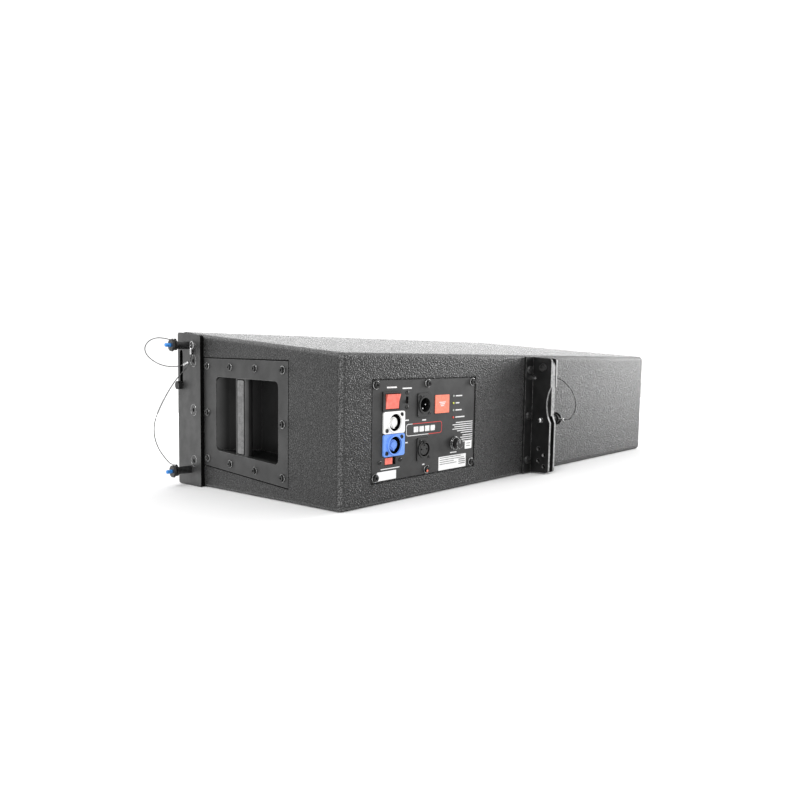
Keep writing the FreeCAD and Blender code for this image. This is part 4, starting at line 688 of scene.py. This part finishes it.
# ------------------------------------------------------------------------- front grille
GRILLE_HALF_X = 384
GRILLE_HALF_Z = 107.6
GRILLE_FACE = 3.0
GRILLE_SHEET = 1.5
GRILLE_LIP = 14
CELL_X = 8.0
CELL_Z = 6.93
CELL_ROWS = 29
CELL_COLUMNS = 94
HOLE_RADIUS = 3.45
GRILLE_CORNER = 2.0
# How fast the cabinet's top and underside close in, per length of depth.
WEDGE_SLOPE = 29 / 410
GRILLE_SCREWS = [(x, z) for x in (-368, -139, 139, 368) for z in (-92, 92)]


def grille_cells():
    """Staggered cells, each a brick of six points around a hexagonal hole."""
    for r in range(CELL_ROWS):
        z = (r - (CELL_ROWS - 1) / 2) * CELL_Z
        shift = CELL_X / 2 if r % 2 else 0
        for c in range(CELL_COLUMNS - r % 2):
            yield (c - (CELL_COLUMNS - 1) / 2) * CELL_X + shift, z


def perforated_grille():
    """The folded steel grille with its field of hexagonal holes."""
    points, index, faces = [], {}, []

    def point(x, z, y=GRILLE_FACE):
        key = (round(x, 3), round(z, 3), round(y, 3))
        if key not in index:
            index[key] = len(points)
            points.append((x, y, z))
        return index[key]

    half_x, half_z = CELL_COLUMNS * CELL_X / 2, CELL_ROWS * CELL_Z / 2
    for x, z in grille_cells():
        outline = [point(x + dx * CELL_X / 2, z + dz * CELL_Z / 2)
                   for dx, dz in ((-1, -1), (0, -1), (1, -1), (1, 1), (0, 1), (-1, 1))]
        if any(math.hypot(x - sx, z - sz) < 8 for sx, sz in GRILLE_SCREWS):
            faces.append(tuple(outline))
            continue
        hole = [point(x + HOLE_RADIUS * math.cos(math.radians(a)),
                      z + HOLE_RADIUS * math.sin(math.radians(a)))
                for a in (-150, -90, -30, 30, 90, 150)]
        for i in range(6):
            k = (i + 1) % 6
            faces.append((outline[i], outline[k], hole[k], hole[i]))
    for r in range(1, CELL_ROWS, 2):
        z = (r - (CELL_ROWS - 1) / 2) * CELL_Z
        for side in (-1, 1):
            faces.append(tuple(point(side * x, z + dz * CELL_Z / 2) for x, dz in (
                (half_x - CELL_X / 2, -1), (half_x, -1), (half_x, 1), (half_x - CELL_X / 2, 1))))
    border = [(x * CELL_X / 2 - half_x, -half_z) for x in range(2 * CELL_COLUMNS)]
    border += [(half_x, (r - CELL_ROWS / 2) * CELL_Z) for r in range(CELL_ROWS)]
    border += [(half_x - x * CELL_X / 2, half_z) for x in range(2 * CELL_COLUMNS)]
    border += [(-half_x, (CELL_ROWS / 2 - r) * CELL_Z) for r in range(CELL_ROWS)]
    folds = [(inset * GRILLE_CORNER, depth * GRILLE_CORNER)
             for inset, depth in ((1, 0), (0.45, 0.15), (0.12, 0.5), (0, 1))]
    folds.append((0.0, GRILLE_LIP))
    before = [point(x, z) for x, z in border]
    for inset, depth in folds:
        drop = depth * WEDGE_SLOPE
        sx = (GRILLE_HALF_X - inset) / half_x
        sz = (GRILLE_HALF_Z - inset - drop) / half_z
        ring = [point(x * sx, z * sz, GRILLE_FACE + depth) for x, z in border]
        for i in range(len(border)):
            k = (i + 1) % len(border)
            faces.append((before[i], before[k], ring[k], ring[i]))
        before = ring
    shape = Shape()
    shape.points, shape.faces = points, faces
    made = shape.piece("grille_perforated", FINISHES["grille_steel"], None, "grille_steel")
    sheet = made.modifiers.new("sheet", "SOLIDIFY")
    sheet.thickness = GRILLE_SHEET / 1000
    sheet.offset = -1
    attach(made, "cabinet")
    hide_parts("front_grille")


def foam_sheet():
    """The soft sheet behind the grille, faintly lumpy and thinner towards its edges."""
    columns, rows = 190, 54
    half_x, half_z = 382.0, 105.5
    front, back = 4.9, 10.3
    shape = Shape()

    def surface(y, depth):
        grid = []
        for r in range(rows + 1):
            line = []
            for c in range(columns + 1):
                x = -half_x + 2 * half_x * c / columns
                z = -half_z + 2 * half_z * r / rows
                edge = min(half_x - abs(x), half_z - abs(z))
                soft = 1.2 * math.exp(-edge / 3)
                rise = 0.25 * noise.noise((x / 22, z / 22, depth)) + 0.15
                line.append((x, y + depth * (rise + soft), z))
            grid.append(line)
        return grid

    width = columns + 1
    for grid in (surface(front, 1), surface(back, -1)):
        base = len(shape.points)
        for line in grid:
            shape.points += line
        for r in range(rows):
            for c in range(columns):
                a = base + r * width + c
                shape.faces.append((a, a + 1, a + width + 1, a + width))
    border = list(range(columns)) + [r * width + columns for r in range(rows)]
    border += [rows * width + c for c in range(columns, 0, -1)]
    border += [r * width for r in range(rows, 0, -1)]
    offset = width * (rows + 1)
    for i, start in enumerate(border):
        end = border[(i + 1) % len(border)]
        shape.faces.append((start, end, offset + end, offset + start))
    made = shape.piece("foam_layer", FINISHES["foam"], "cabinet", "foam", ["grille_foam"], True)


perforated_grille()
foam_sheet()


# ------------------------------------------------------------------------- woofer surrounds
WOOFER_X = 256
ROLL_HEIGHT = 7.2
ROLL_MIDDLE = 85.5
ROLL_LIP_Y = 22.4
ROLL_STEPS = 8
RUBBER_SHEET = 1.1


def roll_profile(lip_radius):
    """Half of a half-roll, as (radius, y) points from its lip to its crest."""
    points = []
    for i in range(ROLL_STEPS + 1):
        angle = math.pi / 2 * i / ROLL_STEPS
        radius = ROLL_MIDDLE + (lip_radius - ROLL_MIDDLE) * math.cos(angle)
        points.append((radius, ROLL_LIP_Y - ROLL_HEIGHT * math.sin(angle)))
    return points


def surround_half(name, side, profile):
    """A ring of rubber sheet from a profile of (radius, y) points."""
    shape = Shape()
    skins = profile + [(radius, y + RUBBER_SHEET) for radius, y in reversed(profile)]
    rings = [[(side * WOOFER_X + x, y, z) for x, z in circle(radius, 96)] for radius, y in skins]
    rings.append(rings[0])
    shape.loops(rings)
    return shape.piece(name, FINISHES["rubber"], None, "rubber", smooth=True, weld=True)


def add_surrounds():
    """Each half-roll in two pieces: the outer one held to the cabinet, the inner one left
    unattached.
    """
    for name, side in SIDES.items():
        outer = [(94.6, 22.6), (92.0, 22.6)] + roll_profile(91.6)
        inner = [(74.8, 25.4), (77.6, 24.6)] + roll_profile(79.0)
        frame_half = surround_half(f"surround_outer_{name}", side, outer)
        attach(frame_half, "cabinet")
        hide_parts(f"woofer_surround_{name}")
        cone_half = surround_half(f"surround_inner_{name}", side, inner)
        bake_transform(cone_half)


add_surrounds()


# --------------------------------------------------------------------------- handle details
HANDLE_MIDDLE = 190
HANDLE_HALF_Y = 113
HANDLE_HALF_Z = 82.5
GRIP_Y = 182.9


def grip_strips():
    """The pale ribbed strip let into each carrying bar, on a black plate painted as the shade of
    the gap around it.
    """
    for name, side in SIDES.items():
        # black plate under the strip: painted shade in the gap around it
        gap_shade = Shape()
        plaque(gap_shade, end_place(side, GRIP_Y, 0, 397.9), 9.9, 54.2, 1.8, 0.25, 0.05)
        gap_shade.piece(f"grip_gap_{name}", PAINTED_SHADE_BLACK, "cabinet", "rubber")
        strip = Shape()
        plaque(strip, end_place(side, GRIP_Y, 0, 397.95), 8.3, 53, 1.6, 0.9, 0.35)
        strip.piece(f"grip_strip_{name}", STRIP_GREY, "cabinet", "rubber")
        ribs = Shape()
        for i in range(30):
            z = -46.4 + 3.2 * i
            plaque(ribs, end_place(side, GRIP_Y, z, 398.8), 5.6, 0.75, 0.7, 0.5, 0.25, 3)
        ribs.piece(f"grip_ribs_{name}", STRIP_GREY, "cabinet", "rubber")


def handle_gap_shades():
    """A black ring in the gap round each handle plate, painted as the shade of that gap."""
    for name, side in SIDES.items():
        place = end_place(side, HANDLE_MIDDLE, 0)
        shape = Shape()
        section = [(1.75, -2.8), (1.75, -0.25), (0.08, -0.25), (0.08, -2.8), (1.75, -2.8)]
        shape.loops([[place(point, lift) for point in
                      rounded(HANDLE_HALF_Y + grow, HANDLE_HALF_Z + grow, 0.5 + grow)]
                     for grow, lift in section])
        # near-black ring: painted shade in the gap round the handle plate
        shape.piece(f"handle_gasket_{name}", PAINTED_SHADE_BLACK, "cabinet", "rubber", weld=True)


grip_strips()
handle_gap_shades()


# ----------------------------------------------------------------------- amplifier panel
# Places on the panel are distances in from the right end and heights above the middle plane.
SCREW_COLUMNS = [56.3, 149.85, 243.4]
SCREW_ROWS = [55.9, -59.9]
MAINS_U = 87.1
MAINS_OUT_Z = 7.8
MAINS_IN_Z = -21
SIGNAL_U = 143.2
SIGNAL_OUT_Z = 27.5
VOLUME_U = 206.3
VOLUME_Z = -29.5
LAMP_U = 202.9
BADGE_U = 179.0
OUTLINE_U = 144.8
OUTLINE_Z = -4.4
INK_HEIGHT = 0.12
INK_EASE = 0.03
# Each printed word: its middle, its height on the panel, its length and its letters' height.
PANEL_WORDS = [
    (83.6, 52.2, 17.5, 2.0), (110.9, 50.4, 17, 1.8), (82.7, -50.6, 33, 1.2),
    (111.1, 8.8, 7.5, 1.7), (111.1, -20.4, 4.6, 1.7), (143.8, 7.2, 7.6, 1.8),
    (143.8, -52.6, 4.4, 1.7), (214.7, 37, 14, 1.7), (211.7, 27, 8, 1.7),
    (214.45, 17, 13.5, 1.7), (217.7, 7, 20, 1.7), (204.8, -42.4, 14, 1.5),
]


def bar(shape, u, z, width, height):
    """A plain bar that stands for a printed word."""
    plaque(shape, rear_place(u, z), width / 2, height / 2, height * 0.3, INK_HEIGHT, INK_EASE, 2)


def paragraph(shape, u, z, widths):
    """Lines of small print, as bars ranged to one edge."""
    for i, width in enumerate(widths):
        bar(shape, u + (max(widths) - width) / 2, z - i * 3.0, width, 1.25)


def on_white_part(u, v):
    """Whether a place on the printed outline lies on its white part or on its red one."""
    return u < 8 and (v < 5 or u < -20)


def printed_outline(shape, white):
    """The white or the red part of the thin rounded outline in the panel's middle."""
    half_u, half_v, radius, width = 34.7, 8.1, 4.0, 0.9
    outer = rounded(half_u, half_v, radius, 6)
    inner = rounded(half_u - width, half_v - width, radius - width, 6)
    dense_outer, dense_inner = [], []
    for i in range(len(outer)):
        k = (i + 1) % len(outer)
        pieces = 8 if math.dist(outer[i], outer[k]) > 4 else 1
        for step in range(pieces):
            t = step / pieces
            dense_outer.append([a + (b - a) * t for a, b in zip(outer[i], outer[k])])
            dense_inner.append([a + (b - a) * t for a, b in zip(inner[i], inner[k])])
    place = rear_place(OUTLINE_U, OUTLINE_Z)
    count = len(dense_outer)
    for i in range(count):
        k = (i + 1) % count
        middle = [(a + b) / 2 for a, b in zip(dense_outer[i], dense_outer[k])]
        if on_white_part(*middle) != white:
            continue
        base = len(shape.points)
        corners = (dense_outer[i], dense_outer[k], dense_inner[k], dense_inner[i])
        shape.points += [place(p, 0) for p in corners] + [place(p, INK_HEIGHT) for p in corners]
        shape.faces.append(tuple(base + 4 + j for j in range(4)))
        shape.faces.append(tuple(base + 3 - j for j in range(4)))
        for j in range(4):
            m = (j + 1) % 4
            shape.faces.append((base + j, base + m, base + 4 + m, base + 4 + j))


def panel_print():
    """Generic printing: bars for words, and an outline round four plain blocks."""
    white = Shape()
    for u, z, width, height in PANEL_WORDS:
        bar(white, u, z, width, height)
    paragraph(white, 224.1, -0.8, [37, 44, 40, 44, 34, 26])
    paragraph(white, 232.7, -19.6, [22, 27, 27, 25])
    printed_outline(white, True)
    for i in range(4):
        plaque(white, rear_place(128.6 + 10.8 * i, OUTLINE_Z), 4.4, 3.7, 0.8, INK_HEIGHT,
               INK_EASE, 2)
    white.piece("panel_print_white", WHITE_INK, "cabinet", "panel_paint")
    red = Shape()
    printed_outline(red, False)
    red.piece("panel_print_red", RED_INK, "cabinet", "panel_paint")


def panel_labels():
    """The plain badge and the blank or barred paper labels."""
    badge = Shape()
    plaque(badge, rear_place(BADGE_U, 27.0), 14.4, 12.5, 0.8, 0.9, 0.25)
    badge.piece("panel_badge", BADGE_RED, "cabinet", "rocker_red")
    mark = Shape()
    for i in range(3):
        plaque(mark, rear_place(BADGE_U, 29.4 - 2.4 * i, PANEL_FACE + 0.88), 6.5 - 1.6 * i, 0.6,
               0.3, 0.1, INK_EASE, 2)
    mark.piece("panel_badge_bars", WHITE_INK, "cabinet", "panel_paint")
    paper = Shape()
    for u, z, half_u, half_v in ((76.6, -59.1, 16.5, 5.6), (203.4, -55.8, 29.2, 9.4),
                                 (237.4, -34.4, 7.6, 5.8)):
        plaque(paper, rear_place(u, z), half_u, half_v, 0.8, 0.15, 0.04)
    paper.piece("panel_labels", LABEL_PAPER, "cabinet", "socket_white")
    ink = Shape()

    def printed(u, z, width, height):
        plaque(ink, rear_place(u, z, PANEL_FACE + 0.13), width / 2, height / 2, 0.2, 0.1,
               INK_EASE, 2)

    for i, width in enumerate((46, 52, 30, 36)):
        printed(176.3 + width / 2, -48.2 - 2.9 * i, width, 1.1)
    for i in range(3):
        printed(223.6, -53.8 - 2.9 * i, 14, 1.5)
    for i in range(2):
        printed(237.4, -32.2 - 3.6 * i, 9, 1.0)
    ink.piece("panel_label_print", GREY_INK, "cabinet", "panel_paint")


def screw_head(shape, place, radius, height):
    """A small domed screw head standing on a surface."""
    profile = [(1.0, 0.0), (1.0, 0.35), (0.93, 0.6), (0.75, 0.82), (0.45, 0.96), (0.1, 1.0)]
    shape.loops([[place(point, height * lift) for point in circle(radius * share, 20)]
                 for share, lift in profile], capped=True)


def turned_section(shape, place, section, steps=48):
    """Turns a closed section of (radius, lift) points about the axis of a place."""
    shape.loops([[place(point, lift) for point in circle(radius, steps)]
                 for radius, lift in section])


def rim(shape, place, radius, base, thick):
    """A thin ring of round section lying on a surface."""
    angles = [math.pi / 4 * i for i in range(9)]
    section = [(radius + thick * math.cos(a), base + thick * math.sin(a)) for a in angles]
    turned_section(shape, place, section, 36)


def stamp(shape, place, outline, base):
    """A thin plate of a given outline, lying on a surface."""
    shape.loops([[place(point, lift) for point in outline] for lift in (base, base + 0.12)],
                capped=True)


def cross(shape, place, arm, width, base):
    """Painted shade in a screw's cross recess, as a thin dark plus-shaped plate."""
    half = width / 2
    outline = [(half, half), (half, arm), (-half, arm), (-half, half), (-arm, half),
               (-arm, -half), (-half, -half), (-half, -arm), (half, -arm), (half, -half),
               (arm, -half), (arm, half)]
    turn = 0.5
    outline = [(u * math.cos(turn) - v * math.sin(turn), u * math.sin(turn) + v * math.cos(turn))
               for u, v in outline]
    stamp(shape, place, outline, base)


# Each screw's place on the panel and the height of the flange that it holds.
SIGNAL_FLANGE = 1.6
SOCKET_SCREWS = [
    (100.1, 17.6, 2.2), (74.1, -2.0, 2.2), (100.1, -11.2, 2.2), (74.1, -30.8, 2.2),
    (135.5, 38.4, 1.6), (151.8, 16.4, 1.6), (135.5, -20.6, 1.6), (151.8, -43.0, 1.6),
    (64.1, -41.3, 0.0), (100.5, -41.3, 0.0), (111.2, 44.6, 0.0), (111.2, 25.8, 0.0),
]


def socket_screws():
    """The small cross-head screws of the sockets and switches."""
    heads, recesses = Shape(), Shape()
    for u, z, base in SOCKET_SCREWS:
        place = rear_place(u, z, PANEL_FACE + base)
        screw_head(heads, place, 2.2 if base == SIGNAL_FLANGE else 2.7, 1.3)
        # dark crosses painted as the shade in the screw recesses
        cross(recesses, place, 1.4, 0.6, 1.2)
    heads.piece("socket_screws", FINISHES["screw_black"], "cabinet", "screw_black", smooth=True)
    recesses.piece("socket_screw_recesses", PAINTED_SHADE_BLACK, "cabinet", "screw_black")


SCREW_EDGE = 11.5
BOLT_Y = 53
BOLT_HEIGHTS = (78, 1, -80)
RING_Z = 102


def handle_screw_centres():
    """The ten screws of a handle plate: four along each long edge and one at each side."""
    first = HANDLE_MIDDLE - HANDLE_HALF_Y + SCREW_EDGE
    pitch = 2 * (HANDLE_HALF_Y - SCREW_EDGE) / 3
    columns = [first + i * pitch for i in range(4)]
    row_z = HANDLE_HALF_Z - SCREW_EDGE
    places = [(y, z) for z in (row_z, -row_z) for y in columns]
    return places + [(columns[0], 0), (columns[3], 0)]


def recess_marks():
    """Painted shade in the six-sided driver recesses of the cup-washer screws and of the rigging
    bolts, as thin dark plates.
    """
    # dark hexagons painted as the shade in the driver recesses
    shape = Shape()
    for u in SCREW_COLUMNS:
        for z in SCREW_ROWS:
            stamp(shape, rear_place(u, z), circle(1.9, 6), 3.5)
    for side in SIDES.values():
        for y, z in handle_screw_centres():
            stamp(shape, end_place(side, y, z), circle(1.9, 6), 3.5)
        for z in BOLT_HEIGHTS:
            stamp(shape, end_place(side, BOLT_Y, z), circle(3.4, 6), 5.92)
    shape.piece("screw_recesses", PAINTED_SHADE_BLACK, "cabinet", "screw_black")


def fastener_rims():
    """The rubbed rims of the cup washers, of the countersunk bolts and of the anchor rings."""
    cups, bolts, rings, dots = Shape(), Shape(), Shape(), Shape()
    for u in SCREW_COLUMNS:
        for z in SCREW_ROWS:
            rim(cups, rear_place(u, z), 5.15, 0.9, 0.55)
    for side in SIDES.values():
        for y, z in handle_screw_centres():
            rim(cups, end_place(side, y, z), 5.15, 0.9, 0.55)
        for z in BOLT_HEIGHTS:
            rim(bolts, end_place(side, BOLT_Y, z), 9.0, 5.8, 0.5)
        rim(rings, end_place(side, BOLT_Y, RING_Z), 6.1, 8.5, 0.85)
        screw_head(dots, end_place(side, BOLT_Y, RING_Z, END_FACE + 10.6), 1.3, 0.7)
    cups.piece("cup_rims", RIM_STEEL, "cabinet", "screw_black", smooth=True, weld=True)
    bolts.piece("bolt_rims", RIM_STEEL, "cabinet", "bolt_steel", smooth=True, weld=True)
    rings.piece("anchor_rims", FINISHES["bright_steel"], "cabinet", "bright_steel", smooth=True,
                weld=True)
    dots.piece("anchor_bolt_dots", FINISHES["bright_steel"], "cabinet", "bright_steel",
               smooth=True)


def contact_tips():
    """The plated ends of the three contacts in the outgoing signal socket."""
    shape = Shape()
    for du, dz in ((-5.2, 0), (5.2, 0), (0, -5.2)):
        place = rear_place(SIGNAL_U + du, SIGNAL_OUT_Z + dz, PANEL_FACE - 2.6)
        screw_head(shape, place, 1.4, 1.0)
    shape.piece("contact_tips", FINISHES["bright_steel"], "cabinet", "bright_steel", smooth=True)


def bore_linings():
    """The shadowed lining and the inner sleeve of the two mains sockets' ring-shaped bores."""
    lining_section = [(11.15, -17.6), (11.15, 1.6), (10.9, 1.6), (10.9, -17.3), (5.0, -17.3),
                      (5.0, -17.6), (11.15, -17.6)]
    sleeve_section = [(7.0, -17), (7.0, -0.2), (6.7, 0.3), (6.2, 0.4), (5.0, 0.4), (4.7, 0.0),
                      (4.7, -17), (7.0, -17)]
    for name, colour, z in (("power_outlet", "socket_white", MAINS_OUT_Z),
                            ("power_inlet", "socket_blue", MAINS_IN_Z)):
        place = rear_place(MAINS_U, z)
        lining = Shape()
        turned_section(lining, place, lining_section)
        lining.piece(f"{name}_lining", PAINTED_SHADE_BLACK, "cabinet", "black_plastic", weld=True)
        sleeve = Shape()
        turned_section(sleeve, place, sleeve_section)
        sleeve.piece(f"{name}_sleeve", FINISHES[colour], "cabinet", colour, weld=True)


def knob_details():
    """The bright rims and the pointer of the volume knob, and a spot of paint on a screw."""
    place = rear_place(VOLUME_U, VOLUME_Z)
    skirt = Shape()
    for radius, lift, thick in ((9.1, 1.5, 0.55), (8.4, 3.7, 0.5), (6.5, 10.8, 0.4)):
        rim(skirt, place, radius, lift, thick)
    skirt.piece("volume_knob_rims", RIM_STEEL, "volume_knob", "bright_steel", smooth=True,
                weld=True)
    pointer = Shape()
    plaque(pointer, rear_place(VOLUME_U, VOLUME_Z + 3.3, PANEL_FACE + 9.9), 0.55, 2.9, 0.3,
           0.9, 0.1, 2)
    pointer.piece("volume_pointer", WHITE_INK, "volume_knob", "panel_paint")
    spot = Shape()
    screw_head(spot, rear_place(148.4, -61.4, PANEL_FACE + 3.5), 1.7, 0.5)
    spot.piece("screw_paint_spot", BADGE_RED, "cabinet", "rocker_red", smooth=True)


def status_lamps():
    """Four domed lenses, in place of the model's lamps."""
    tints = [("power", (0.45, 0.5, 0.46)), ("limit", (0.7, 0.75, 0.08)),
             ("signal", (0.4, 0.44, 0.4)), ("protect", (0.75, 0.05, 0.03))]
    for i, (name, colour) in enumerate(tints):
        shape = Shape()
        place = rear_place(LAMP_U, 37 - 10 * i)
        screw_head(shape, place, 1.5, 1.25)
        lens = shape.piece(f"lamp_{name}", lamp_glass(f"lamp_{name}", colour), "cabinet", "lamp",
                           smooth=True)
        if i == 0:
            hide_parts("status_lamps")


panel_print()
panel_labels()
socket_screws()
recess_marks()
fastener_rims()
contact_tips()
bore_linings()
knob_details()
status_lamps()


# --------------------------------------------------------------------------- the studio
def softbox(name, place, size, brightness):
    """A rectangular light that faces the object, of a given brightness per area."""
    data = bpy.data.lights.new(name, "AREA")
    data.shape = "RECTANGLE"
    data.size, data.size_y = size
    data.energy = brightness * math.pi * size[0] * size[1]
    made = bpy.data.objects.new(name, data)
    bpy.context.scene.collection.objects.link(made)
    made.location = place
    made.rotation_mode = "QUATERNION"
    made.rotation_quaternion = (Vector(place) - Vector((0, 0, 0.12))).to_track_quat("Z", "Y")
    made.visible_camera = False


def studio_lights():
    """Three softboxes: low behind the object, beside its far rear half, and above the near end."""
    softbox("behind", (-2.1, -2.1, 0.75), (4.6, 1.5), 2.1)
    softbox("far_side", (-2.8, 0.95, 0.7), (1.3, 1.3), 10.5)
    softbox("near_top", (2.3, 1.2, 2.6), (0.6, 0.6), 26.0)


def studio_world():
    """Even white light from all round."""
    world = bpy.data.worlds.new("studio")
    world.use_nodes = True
    background = world.node_tree.nodes["Background"]
    background.inputs["Color"].default_value = (1, 1, 1, 1)
    background.inputs["Strength"].default_value = 1.18
    bpy.context.scene.world = world


def studio_floor():
    """A plain pale floor."""
    mesh = bpy.data.meshes.new("floor")
    half = 12.0
    mesh.from_pydata([(-half, -half, 0), (half, -half, 0), (half, half, 0), (-half, half, 0)],
                     [], [(0, 1, 2, 3)])
    made = bpy.data.objects.new("floor", mesh)
    bpy.context.scene.collection.objects.link(made)
    pale = Finish("floor_pale", grey(0.9), 0.9)
    pale.mottle(grey(0.88), 0.6)
    mesh.materials.append(pale.material)


def studio():
    """The light, the floor and a plain rendering of white."""
    studio_world()
    studio_lights()
    studio_floor()
    bpy.context.scene.view_settings.view_transform = "Standard"


studio()
